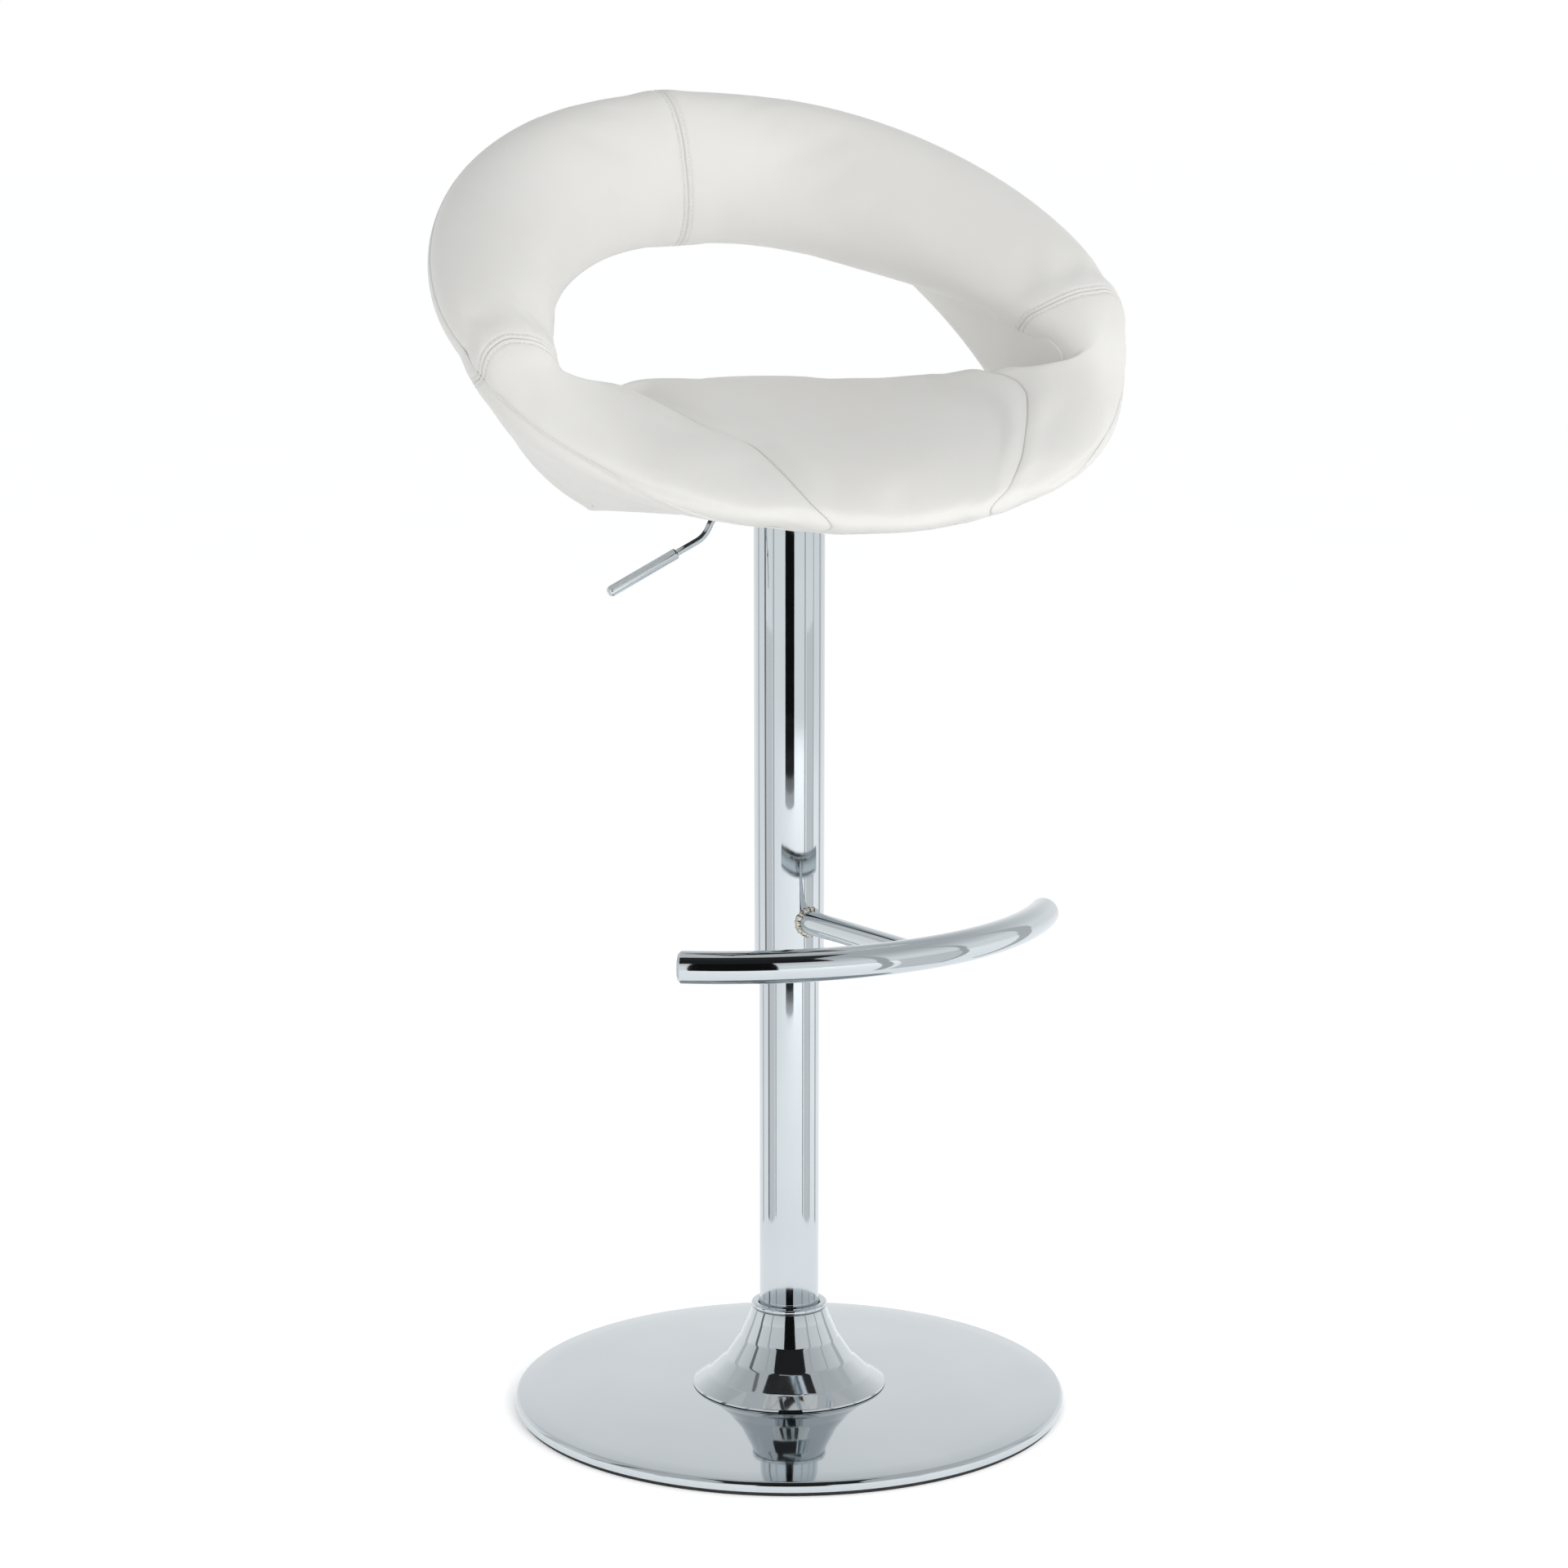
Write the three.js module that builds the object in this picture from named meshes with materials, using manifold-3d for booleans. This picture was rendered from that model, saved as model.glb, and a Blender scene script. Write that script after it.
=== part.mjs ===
// Adjustable swivel stool: a ring-back upholstered seat on a gas-lift column with a footrest and a round base.
// Millimetres, +Z up. The origin is on the floor on the column's axis; a sitter faces -Y and has the height lever on -X.
import * as THREE from 'three';
import { mergeVertices } from 'three/addons/utils/BufferGeometryUtils.js';
import { LoftGeometry } from 'three/addons/geometries/LoftGeometry.js';
import Module from 'manifold-3d';

const wasm = await Module();
wasm.setup();

// ---------------------------------------------------------------- driving dimensions
const GAP = 0.3; // clearance kept between neighbouring pieces

// base
const BASE_R = 225, BASE_TOP_R = 222.6, BASE_SHEET = 1.3;
const PAD_R = 219, PAD_T = 3.2;
const WEIGHT_R = 200, WEIGHT_T = 4, WEIGHT_HUB_R = 74;
const TRUMPET_FOOT_R = 79, TRUMPET_NECK_R = 28.6, TRUMPET_TOP_Z = 80.5, TRUMPET_SHEET = 1.2;
const COLLAR_OUT_R = 31, COLLAR_TOP_Z = 85;
const FLANGE_R = 58, FLANGE_T = 5, FLANGE_BOLT_PCD = 84;

// column
const TUBE_R = 24.25, TUBE_WALL = 1.5, TUBE_TOP_Z = 469;
const SLEEVE_R = 28.3, SLEEVE_WALL = 1.5, SLEEVE_BOTTOM_Z = 378, SLEEVE_TOP_Z = 723;
const CYLINDER_R = 14, CYLINDER_WALL = 1.7, CYLINDER_BOTTOM_Z = 390, CYLINDER_TOP_Z = 726, TAPER_START_Z = 684, TAPER_TOP_R = 12.6;
const ROD_R = 5, ROD_BOTTOM_Z = 12, ROD_TOP_Z = 409, ROD_SHOULDER_Z = 34.4;

// footrest, turned a little on the column from the seat's own direction
const FOOTREST_TURN_DEG = 9;
const BAR_R = 12.7, BAR_WALL = 1.5, BAR_Z = 406, BAR_ARC_R = 263, BAR_FRONT = 174, BAR_HALF_ANGLE_DEG = 41.3;
const STRUT_R = 9.6;

// lever
const LEVER_ROD_R = 2.7, LEVER_GRIP_R = 4.5;
const LEVER_PIVOT_X = -22, LEVER_Z = 733, PIVOT_PIN_R = 2.5;

// bracket and board
const BRACKET_T = 3, WEB_Z = 724.4, FLANGE_TOP_Z = 745.2;
const BOARD_Z = 745.5, BOARD_T = 10, BOARD_HALF_X = 138, BOARD_FRONT_Y = -110, BOARD_REAR_Y = 84;

// upholstered ring: outer edge, inner edge and underside outline, each a function of the angle t round the seat (0 = front)
const RING = {
  Wo: 287.15, Do: 186.14, yo: 4.7, zo0: 740.74, zo1: 1060.65, ko: 1.09, Wi: 215.48, yi0: 105.0, yi1: 185.53, yib: -196.13, zi0: 822.45, zi1: 933.52, ki: 2.0, bf: 25.37, bs: 33.8, bb: 38.61, ex: 2.16, pw: 1.0, Wb: 205.42, Db: 172.03, yb: 31.95, zb: 740.58, kb: 1.83, exf: 2.5,
};
const HOOP_R = 8, STRAP_X = 84, STRAP_FRONT_Y = -146;
const ARM_SEAM_DEG = 88, PAD_REAR_LIMIT_Y = 130;
const PAD_SEAM = [[140, 130], [150, 30], [149, -40], [144, -66], [132, -92], [114, -122], [98, -146], [86, -160], [68, -176], [60, -230]];
const STATIONS = 42, RING_SIDES = 14;

// ---------------------------------------------------------------- materials
const mat = (color, roughness, metalness) => new THREE.MeshStandardMaterial({ color, roughness, metalness });
const chrome = () => mat(0xd4dade, 0.08, 1.0);
const steel = () => mat(0x8d9195, 0.4, 1.0);
const blackSteel = () => mat(0x1c1d1f, 0.5, 0.8);
const iron = () => mat(0x3a3b3d, 0.7, 0.8);
const rubber = () => mat(0x151515, 0.85, 0.0);
const blackPlastic = () => mat(0x18191a, 0.5, 0.0);
const greyPlastic = () => mat(0xb8bcc0, 0.45, 0.0);
const plywood = () => mat(0xc9a878, 0.7, 0.0);
const white = () => mat(0xe9e7e2, 0.45, 0.0);

// ---------------------------------------------------------------- helpers
const V3 = (x, y, z) => new THREE.Vector3(x, y, z);
const V2 = (x, y) => new THREE.Vector2(x, y);
const DEG = Math.PI / 180;

// signed volume of an indexed or plain geometry
function signedVolume(g) {
  const p = g.attributes.position, ix = g.index;
  const n = ix ? ix.count : p.count;
  const a = V3(), b = V3(), c = V3();
  let v = 0;
  for (let i = 0; i < n; i += 3) {
    a.fromBufferAttribute(p, ix ? ix.getX(i) : i);
    b.fromBufferAttribute(p, ix ? ix.getX(i + 1) : i + 1);
    c.fromBufferAttribute(p, ix ? ix.getX(i + 2) : i + 2);
    v += a.dot(b.clone().cross(c));
  }
  return v / 6;
}

// the same surface with shared vertices, faces pointing out
function closed(geometry) {
  const g = new THREE.BufferGeometry();
  g.setAttribute('position', geometry.attributes.position.clone());
  if (geometry.index) g.setIndex(geometry.index.clone());
  const m = mergeVertices(g, 1e-3);
  if (signedVolume(m) < 0) {
    const ix = m.index.array;
    for (let i = 0; i < ix.length; i += 3) [ix[i + 1], ix[i + 2]] = [ix[i + 2], ix[i + 1]];
  }
  return m;
}

function solid(geometry) {
  const m = closed(geometry);
  return new wasm.Manifold(new wasm.Mesh({
    numProp: 3,
    vertProperties: new Float32Array(m.attributes.position.array),
    triVerts: new Uint32Array(m.index.array),
  }));
}

function geometryOf(manifold) {
  const mesh = manifold.getMesh();
  const n = mesh.numProp, v = mesh.vertProperties, count = v.length / n;
  const pos = new Float32Array(count * 3);
  for (let i = 0; i < count; i++) for (let k = 0; k < 3; k++) pos[i * 3 + k] = v[i * n + k];
  const g = new THREE.BufferGeometry();
  g.setAttribute('position', new THREE.BufferAttribute(pos, 3));
  g.setIndex(new THREE.BufferAttribute(new Uint32Array(mesh.triVerts), 1));
  const flat = g.toNonIndexed();
  flat.computeVertexNormals();
  return flat;
}

// the largest body of a cut solid, without the slivers a cut can leave
function mainBody(manifold) {
  const parts = manifold.decompose();
  let best = parts[0];
  for (const p of parts) if (p.volume() > best.volume()) best = p;
  return best;
}

// a turned piece from a closed profile of [radius, height] points, counter-clockwise or not, about +Z
function turned(points, segments = 40) {
  const pts = points.map(([r, z]) => V2(r, z));
  pts.push(pts[0].clone());
  const g = new THREE.LatheGeometry(pts, segments);
  g.rotateX(Math.PI / 2);
  return closed(g);
}
// a turned piece whose profile starts and ends on the axis
function turnedSolid(points, segments = 32) {
  const g = new THREE.LatheGeometry(points.map(([r, z]) => V2(r, z)), segments);
  g.rotateX(Math.PI / 2);
  return closed(g);
}
const ring = (rIn, rOut, z0, z1, segments = 40) => turned([[rIn, z0], [rOut, z0], [rOut, z1], [rIn, z1]], segments);
const disc = (r, z0, z1, segments = 36) => turnedSolid([[0, z0], [r, z0], [r, z1], [0, z1]], segments);

// a cylinder along any direction
function rodBetween(a, b, r, segments = 16) {
  const d = b.clone().sub(a);
  const g = new THREE.CylinderGeometry(r, r, d.length(), segments);
  g.applyQuaternion(new THREE.Quaternion().setFromUnitVectors(V3(0, 1, 0), d.clone().normalize()));
  g.translate((a.x + b.x) / 2, (a.y + b.y) / 2, (a.z + b.z) / 2);
  return closed(g);
}
function boxFrom(x0, x1, y0, y1, z0, z1) {
  const g = new THREE.BoxGeometry(x1 - x0, y1 - y0, z1 - z0);
  g.translate((x0 + x1) / 2, (y0 + y1) / 2, (z0 + z1) / 2);
  return closed(g);
}
// a plate from a rounded rectangle
function plate(x0, x1, y0, y1, corner, z0, z1, steps = 3) {
  const pts = [];
  for (const [cx, cy, from] of [[x1 - corner, y0 + corner, -90], [x1 - corner, y1 - corner, 0], [x0 + corner, y1 - corner, 90], [x0 + corner, y0 + corner, 180]]) {
    for (let i = 0; i <= steps; i++) {
      const a = (from + 90 * i / steps) * DEG;
      pts.push(V2(cx + corner * Math.cos(a), cy + corner * Math.sin(a)));
    }
  }
  const g = new THREE.ExtrudeGeometry(new THREE.Shape(pts), { depth: z1 - z0, bevelEnabled: false });
  g.translate(0, 0, z0);
  return closed(g);
}
// a skin through sections, with each section ordered so that the faces point out
function loft(rows, caps = false) {
  const n = V3(), to = V3();
  const A = rows[0], B = rows[1];
  for (let i = 0; i < A.length; i++) {
    const p = A[i], q = A[(i + 1) % A.length];
    n.x += (p.y - q.y) * (p.z + q.z); n.y += (p.z - q.z) * (p.x + q.x); n.z += (p.x - q.x) * (p.y + q.y);
    to.add(B[i]).sub(A[i]);
  }
  const ordered = n.dot(to) < 0 ? rows.map((r) => r.slice().reverse()) : rows;
  return new LoftGeometry(ordered, { capStart: caps, capEnd: caps });
}
// cuts and joins in one call: start, then [op, geometry] pairs
function made(start, ...ops) {
  let m = solid(start);
  for (const [op, g] of ops) {
    const s = g.isBufferGeometry ? solid(g) : g;
    m = op === 'cut' ? m.subtract(s) : op === 'add' ? m.add(s) : m.intersect(s);
  }
  return geometryOf(mainBody(m));
}

const part = new THREE.Group();
part.name = 'adjustable_swivel_stool';
const groups = {};
for (const k of ['base', 'spindle', 'carriage', 'footrest', 'lever', 'valve', 'seat']) {
  groups[k] = new THREE.Group();
}
part.add(groups.base, groups.spindle, groups.carriage);
groups.carriage.add(groups.footrest, groups.lever, groups.valve, groups.seat);
groups.footrest.rotation.z = FOOTREST_TURN_DEG * DEG;

function put(group, name, geometry, material) {
  const m = new THREE.Mesh(geometry, material);
  m.name = name;
  groups[group].add(m);
  return m;
}

// ---------------------------------------------------------------- base
// rubber pad, the only piece that touches the floor
put('base', 'floor_pad', disc(PAD_R, 0, PAD_T, 60), rubber());

// four bolts hold the column's flange down through the base
const boltAt = [45, 135, 225, 315].map((d) => [Math.cos(d * DEG) * FLANGE_BOLT_PCD / 2, Math.sin(d * DEG) * FLANGE_BOLT_PCD / 2]);
const FLANGE_Z = 15.9;
const throughHoles = (r, z0, z1) => boltAt.map(([x, y]) => { const g = disc(r, z0, z1, 12); g.translate(x, y, 0); return ['cut', g]; });

const weightProfile = [[9.5, PAD_T + GAP], [WEIGHT_R, PAD_T + GAP], [WEIGHT_R, PAD_T + GAP + WEIGHT_T], [90, PAD_T + GAP + WEIGHT_T], [WEIGHT_HUB_R, 14.0], [9.5, 14.0]];
put('base', 'base_weight', made(turned(weightProfile, 40), ...throughHoles(4.3, 0, 30), ...throughHoles(8.2, 0, 8.9)), iron());

// domed chrome pressing with a rolled rim
const coverTop = [[20, 15.6], [82, 15.6], [150, 14.2], [205, 12.7], [BASE_TOP_R - 2.6, 11.6], [BASE_R - 0.7, 9.0], [BASE_R, 3.6]];
const coverUnder = [[BASE_R - BASE_SHEET, 3.6], [BASE_R - 2.1, 8.4], [BASE_TOP_R - 3.4, 10.3], [204.6, 11.4], [149.8, 12.9], [81.8, 14.3], [20, 14.3]];
put('base', 'base_disc', made(turned([...coverTop, ...coverUnder], 60), ...throughHoles(4.3, 10, 20)), chrome());

// flange welded to the foot of the column tube
put('base', 'column_flange', made(ring(TUBE_R + 0.2, FLANGE_R, FLANGE_Z, FLANGE_Z + FLANGE_T, 32), ...throughHoles(4.3, 10, 30)), steel());
put('base', 'column_weld', turned([[TUBE_R + 0.3, FLANGE_Z + FLANGE_T + GAP], [TUBE_R + 4.2, FLANGE_Z + FLANGE_T + GAP], [TUBE_R + 3.0, FLANGE_Z + FLANGE_T + 2.2], [TUBE_R + 0.3, FLANGE_Z + FLANGE_T + 4.4]], 28), steel());
boltAt.forEach(([x, y], i) => {
  const shank = disc(3.9, 8.0, FLANGE_Z + FLANGE_T + 1.5, 14);
  const head = new THREE.CylinderGeometry(7.4, 7.4, 4.2, 6); head.rotateX(Math.PI / 2); head.translate(0, 0, 6.0);
  const g = made(shank, ['add', head]);
  g.translate(x, y, 0);
  put('base', `flange_bolt_${i + 1}`, g, steel());
});

// bell that hides the flange, and the ring on its neck
const bellOut = [[TRUMPET_FOOT_R, 16.1], [77.6, 18.0], [66, 25.6], [52, 38.8], [40.5, 55.6], [33.2, 71.5], [TRUMPET_NECK_R + 1.4, TRUMPET_TOP_Z]];
const bellIn = [[TRUMPET_NECK_R, TRUMPET_TOP_Z], [31.9, 71.1], [39.3, 55.1], [51.0, 38.0], [65.2, 24.7], [76.8, 16.9], [77.2, 16.1]];
put('base', 'trumpet_cover', turned([...bellOut, ...bellIn], 40), chrome());
put('base', 'collar_ring', turned([[TUBE_R + 0.35, 79.2], [TRUMPET_NECK_R - 0.4, 79.2], [TRUMPET_NECK_R - 0.4, TRUMPET_TOP_Z + GAP], [COLLAR_OUT_R, TRUMPET_TOP_Z + GAP], [COLLAR_OUT_R - 0.4, 83.4], [COLLAR_OUT_R - 3.0, COLLAR_TOP_Z], [TUBE_R + 0.35, COLLAR_TOP_Z]], 40), chrome());

// fixed column tube, its bearing seat and the bush the gas cylinder slides in
const LINER_R = TUBE_R - TUBE_WALL;
put('base', 'lower_tube', ring(LINER_R, TUBE_R, FLANGE_Z, TUBE_TOP_Z, 40), chrome());
put('base', 'bearing_seat', ring(4.95, LINER_R - GAP, 20, 26, 28), steel());
put('base', 'bearing_lower_race', ring(5.3, 11, 26.3, 28.0, 24), steel());
put('base', 'bearing_ball_cage', turned([[6.2, 28.3], [9.9, 28.3], [9.9, 30.9], [6.2, 30.9]], 24), greyPlastic());
put('base', 'guide_bush', turned([[CYLINDER_R + 0.35, 430], [LINER_R - GAP, 430], [LINER_R - GAP, TUBE_TOP_Z + GAP], [TUBE_R, TUBE_TOP_Z + GAP], [TUBE_R, TUBE_TOP_Z + 2.2], [CYLINDER_R + 0.35, TUBE_TOP_Z + 2.2]], 36), blackPlastic());

// ---------------------------------------------------------------- spindle: turns in the base
put('spindle', 'bearing_upper_race', ring(5.3, 11, 31.2, 33.0, 24), steel());
put('spindle', 'piston_rod', turnedSolid([[0, ROD_BOTTOM_Z], [4.5, ROD_BOTTOM_Z], [4.5, 16.2], [3.8, 16.2], [3.8, 18], [4.5, 18], [4.5, ROD_SHOULDER_Z - 1.1], [7.5, ROD_SHOULDER_Z - 1.1], [7.5, 38], [ROD_R, 38], [ROD_R, ROD_TOP_Z], [0, ROD_TOP_Z]], 20), steel());
put('spindle', 'retaining_clip', made(ring(4.1, 8.6, 16.6, 17.6, 24), ['cut', boxFrom(2, 12, -2.2, 2.2, 15, 19)]), steel());
put('spindle', 'gas_piston', turned([[ROD_R + 0.3, 398.4], [11.9, 398.4], [11.9, 406], [ROD_R + 0.3, 406]], 24), blackPlastic());

// ---------------------------------------------------------------- carriage: gas cylinder, sleeve
const boreR = CYLINDER_R - CYLINDER_WALL;
put('carriage', 'gas_cylinder', turned([
  [ROD_R + 0.35, CYLINDER_BOTTOM_Z], [CYLINDER_R, CYLINDER_BOTTOM_Z], [CYLINDER_R, TAPER_START_Z], [TAPER_TOP_R, CYLINDER_TOP_Z], [2.5, CYLINDER_TOP_Z],
  [2.5, 676], [boreR, 670], [boreR, CYLINDER_BOTTOM_Z + 6], [ROD_R + 0.35, CYLINDER_BOTTOM_Z + 6]], 28), blackSteel());
const SLEEVE_BORE = SLEEVE_R - SLEEVE_WALL;
put('carriage', 'column_sleeve', ring(SLEEVE_BORE, SLEEVE_R, SLEEVE_BOTTOM_Z, SLEEVE_TOP_Z, 40), chrome());
put('carriage', 'sleeve_bush', ring(TUBE_R + 0.3, SLEEVE_BORE - GAP, SLEEVE_BOTTOM_Z + 1, SLEEVE_BOTTOM_Z + 32, 40), blackPlastic());
put('carriage', 'sleeve_top_ring', ring(CYLINDER_R + GAP, SLEEVE_BORE - GAP, 688, 699.5, 32), blackPlastic());

// ---------------------------------------------------------------- footrest
class BarArc extends THREE.Curve {
  constructor(half) { super(); this.half = half; }
  getPoint(k, target = V3()) {
    const a = (k * 2 - 1) * this.half;
    return target.set(BAR_ARC_R * Math.sin(a), BAR_ARC_R - BAR_FRONT - BAR_ARC_R * Math.cos(a), BAR_Z);
  }
}
const HALF = BAR_HALF_ANGLE_DEG * DEG;
{
  const outline = new THREE.Shape(); outline.absarc(0, 0, BAR_R, 0, Math.PI * 2);
  const hole = new THREE.Path(); hole.absarc(0, 0, BAR_R - BAR_WALL, 0, Math.PI * 2, true);
  outline.holes.push(hole);
  const g = new THREE.ExtrudeGeometry(outline, { steps: 16, bevelEnabled: false, extrudePath: new BarArc(HALF), curveSegments: 9 });
  put('footrest', 'footrest_bar', closed(g), chrome());
}
// pressed-in end caps with a slightly domed face
[-1, 1].forEach((side) => {
  const cap = turnedSolid([[0, -6], [BAR_R - BAR_WALL - 2 * GAP, -6], [BAR_R - BAR_WALL - 2 * GAP, GAP], [BAR_R - 0.1, GAP], [BAR_R - 0.2, 1.4], [BAR_R - 1.5, 2.4], [0, 3.0]], 24);
  const a = side * HALF;
  cap.rotateY(Math.PI / 2 * side);
  cap.rotateZ(a);
  cap.translate(BAR_ARC_R * Math.sin(a), BAR_ARC_R - BAR_FRONT - BAR_ARC_R * Math.cos(a), BAR_Z);
  put('footrest', side < 0 ? 'footrest_cap_right' : 'footrest_cap_left', cap, chrome());
});
// strut, its ends shaped to the sleeve and to the bar
{
  const strut = rodBetween(V3(0, -20, BAR_Z - 0.5), V3(0, -BAR_FRONT, BAR_Z - 0.5), STRUT_R, 28);
  const barSolid = new THREE.Shape(); barSolid.absarc(0, 0, BAR_R + GAP, 0, Math.PI * 2);
  const barCut = new THREE.ExtrudeGeometry(barSolid, { steps: 16, bevelEnabled: false, extrudePath: new BarArc(HALF), curveSegments: 9 });
  put('footrest', 'footrest_strut', made(strut, ['cut', disc(SLEEVE_R + GAP, BAR_Z - 40, BAR_Z + 40, 64)], ['cut', barCut]), chrome());
}
// weld bead round the strut where it meets the sleeve
{
  const sections = [];
  const N = 20, M = 4;
  for (let i = 0; i <= N; i++) {
    const a = (i % N) / N * Math.PI * 2;
    const lump = 1 + 0.12 * Math.sin(a * 9) + 0.08 * Math.sin(a * 5 + 1);
    const pts = [];
    const dir = V3(Math.cos(a), 0, Math.sin(a));
    for (let j = 0; j < M; j++) {
      const b = j / (M - 1) * Math.PI / 2;
      const r = STRUT_R + GAP + 2.6 * lump * Math.cos(b);
      const x = dir.x * r, z = dir.z * r;
      const y = -Math.sqrt((SLEEVE_R + GAP + 0.15) ** 2 - x * x) - 2.6 * lump * Math.sin(b);
      pts.push(V3(x, y, z + BAR_Z - 0.5));
    }
    const x = dir.x * (STRUT_R + GAP), z = dir.z * (STRUT_R + GAP);
    pts.push(V3(x, -Math.sqrt((SLEEVE_R + GAP + 0.15) ** 2 - x * x), z + BAR_Z - 0.5));
    sections.push(pts);
  }
  put('footrest', 'strut_weld', closed(loft(sections)), steel());
}

// ---------------------------------------------------------------- seat bracket, lever, valve
{
  // open channel across X with a tapered socket under its web and a flange each side
  const hubOut = 19, z0 = 700;
  const taperR = (z) => CYLINDER_R + (TAPER_TOP_R - CYLINDER_R) * (z - TAPER_START_Z) / (CYLINDER_TOP_Z - TAPER_START_Z);
  const hub = turned([[taperR(z0) + GAP, z0], [hubOut, z0], [hubOut, WEB_Z + 1], [taperR(WEB_Z + 1) + GAP, WEB_Z + 1]], 24);
  const web = boxFrom(-38, 38, -30, 30, WEB_Z, WEB_Z + BRACKET_T);
  const wallA = boxFrom(-38, 38, -30, -30 + BRACKET_T, WEB_Z, FLANGE_TOP_Z);
  const wallB = boxFrom(-38, 38, 30 - BRACKET_T, 30, WEB_Z, FLANGE_TOP_Z);
  const flA = plate(-68, 68, -84, -29, 10, FLANGE_TOP_Z - BRACKET_T, FLANGE_TOP_Z);
  const flB = plate(-68, 68, 29, 84, 10, FLANGE_TOP_Z - BRACKET_T, FLANGE_TOP_Z);
  const holes = [];
  for (const x of [-54, 54]) for (const y of [-66, 66]) { const g = disc(3.4, 735, 750, 10); g.translate(x, y, 0); holes.push(['cut', g]); }
  put('carriage', 'seat_bracket', made(web, ['add', wallA], ['add', wallB], ['add', flA], ['add', flB], ['add', hub],
    ['cut', disc(taperR(WEB_Z) + GAP, WEB_Z - 2, WEB_Z + 5, 24)],
    ['cut', rodBetween(V3(LEVER_PIVOT_X, -40, LEVER_Z), V3(LEVER_PIVOT_X, 40, LEVER_Z), PIVOT_PIN_R + GAP, 20)],
    ...holes), blackSteel());
}
{
  const pin = rodBetween(V3(LEVER_PIVOT_X, -33.5, LEVER_Z), V3(LEVER_PIVOT_X, 33.5, LEVER_Z), PIVOT_PIN_R, 20);
  const head = rodBetween(V3(LEVER_PIVOT_X, -35.5, LEVER_Z), V3(LEVER_PIVOT_X, -30.4, LEVER_Z), 4, 20);
  put('carriage', 'lever_pivot_pin', made(pin, ['add', head]), steel());
}
[[-54, -66], [54, -66], [-54, 66], [54, 66]].forEach(([x, y], i) => {
  const shank = disc(3, 740, 753.5, 14);
  const head = new THREE.CylinderGeometry(5.6, 5.6, 4, 6); head.rotateX(Math.PI / 2); head.translate(0, 0, FLANGE_TOP_Z - BRACKET_T - GAP - 2);
  const g = made(shank, ['add', head]);
  g.translate(x, y, 0);
  put('carriage', `bracket_bolt_${i + 1}`, g, steel());
});

// lever: hub on the pin, a foot over the valve pin, a crank down and out
const LEVER_PATH = [V3(6, 0, LEVER_Z), V3(-58, 0, LEVER_Z), V3(-64, 0, LEVER_Z - 2.2), V3(-67.2, 0, LEVER_Z - 8), V3(-70.2, 0, LEVER_Z - 14.5), V3(-73.6, 0, LEVER_Z - 18.6), V3(-97.6, 0, 702.7)];
const GRIP_DIR = V3(-154.7 + 97.6, 0, 675 - 702.7).normalize();
{
  const path = new THREE.CurvePath();
  for (let i = 0; i < LEVER_PATH.length - 1; i++) path.add(new THREE.LineCurve3(LEVER_PATH[i], LEVER_PATH[i + 1]));
  const rows = [];
  const M = 12;
  const end = LEVER_PATH[LEVER_PATH.length - 1].clone().add(GRIP_DIR.clone().multiplyScalar(52));
  const pts = [...LEVER_PATH, end];
  for (let i = 0; i < pts.length; i++) {
    const t = V3();
    if (i > 0) t.add(pts[i].clone().sub(pts[i - 1]).normalize());
    if (i < pts.length - 1) t.add(pts[i + 1].clone().sub(pts[i]).normalize());
    t.normalize();
    const side = V3(0, 1, 0), up = V3().crossVectors(side, t).normalize();
    const prev = i > 0 ? pts[i].clone().sub(pts[i - 1]).normalize() : t;
    const stretch = 1 / Math.max(0.7, t.dot(prev));
    const row = [];
    for (let j = 0; j < M; j++) {
      const a = j / M * Math.PI * 2;
      row.push(pts[i].clone().add(side.clone().multiplyScalar(Math.cos(a) * LEVER_ROD_R)).add(up.clone().multiplyScalar(Math.sin(a) * LEVER_ROD_R * stretch)));
    }
    rows.push(row);
  }
  const rod = loft(rows, true);
  const hub = rodBetween(V3(LEVER_PIVOT_X, -9, LEVER_Z), V3(LEVER_PIVOT_X, 9, LEVER_Z), 5, 24);
  const bore = rodBetween(V3(LEVER_PIVOT_X, -12, LEVER_Z), V3(LEVER_PIVOT_X, 12, LEVER_Z), PIVOT_PIN_R + 0.12, 24);
  put('lever', 'lever_rod', made(rod, ['add', hub], ['cut', bore]), chrome());
  // grip: a sleeve on the rod's end, chamfered at both ends
  const L = 64;
  const g = turnedSolid([[0, 55], [LEVER_ROD_R + 0.3, 55], [LEVER_ROD_R + 0.3, 0], [LEVER_GRIP_R - 0.8, 0], [LEVER_GRIP_R, 1.0], [LEVER_GRIP_R, L - 2.6], [LEVER_GRIP_R - 1.6, L], [0, L]], 16);
  g.applyQuaternion(new THREE.Quaternion().setFromUnitVectors(V3(0, 0, 1), GRIP_DIR));
  g.translate(LEVER_PATH[6].x, 0, LEVER_PATH[6].z);
  put('lever', 'lever_grip', closed(g), chrome());
}
put('valve', 'valve_pin', turnedSolid([[0, 690], [2.1, 690], [2.1, 729.0], [1.6, 729.6], [0, 729.6]], 20), steel());

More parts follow.
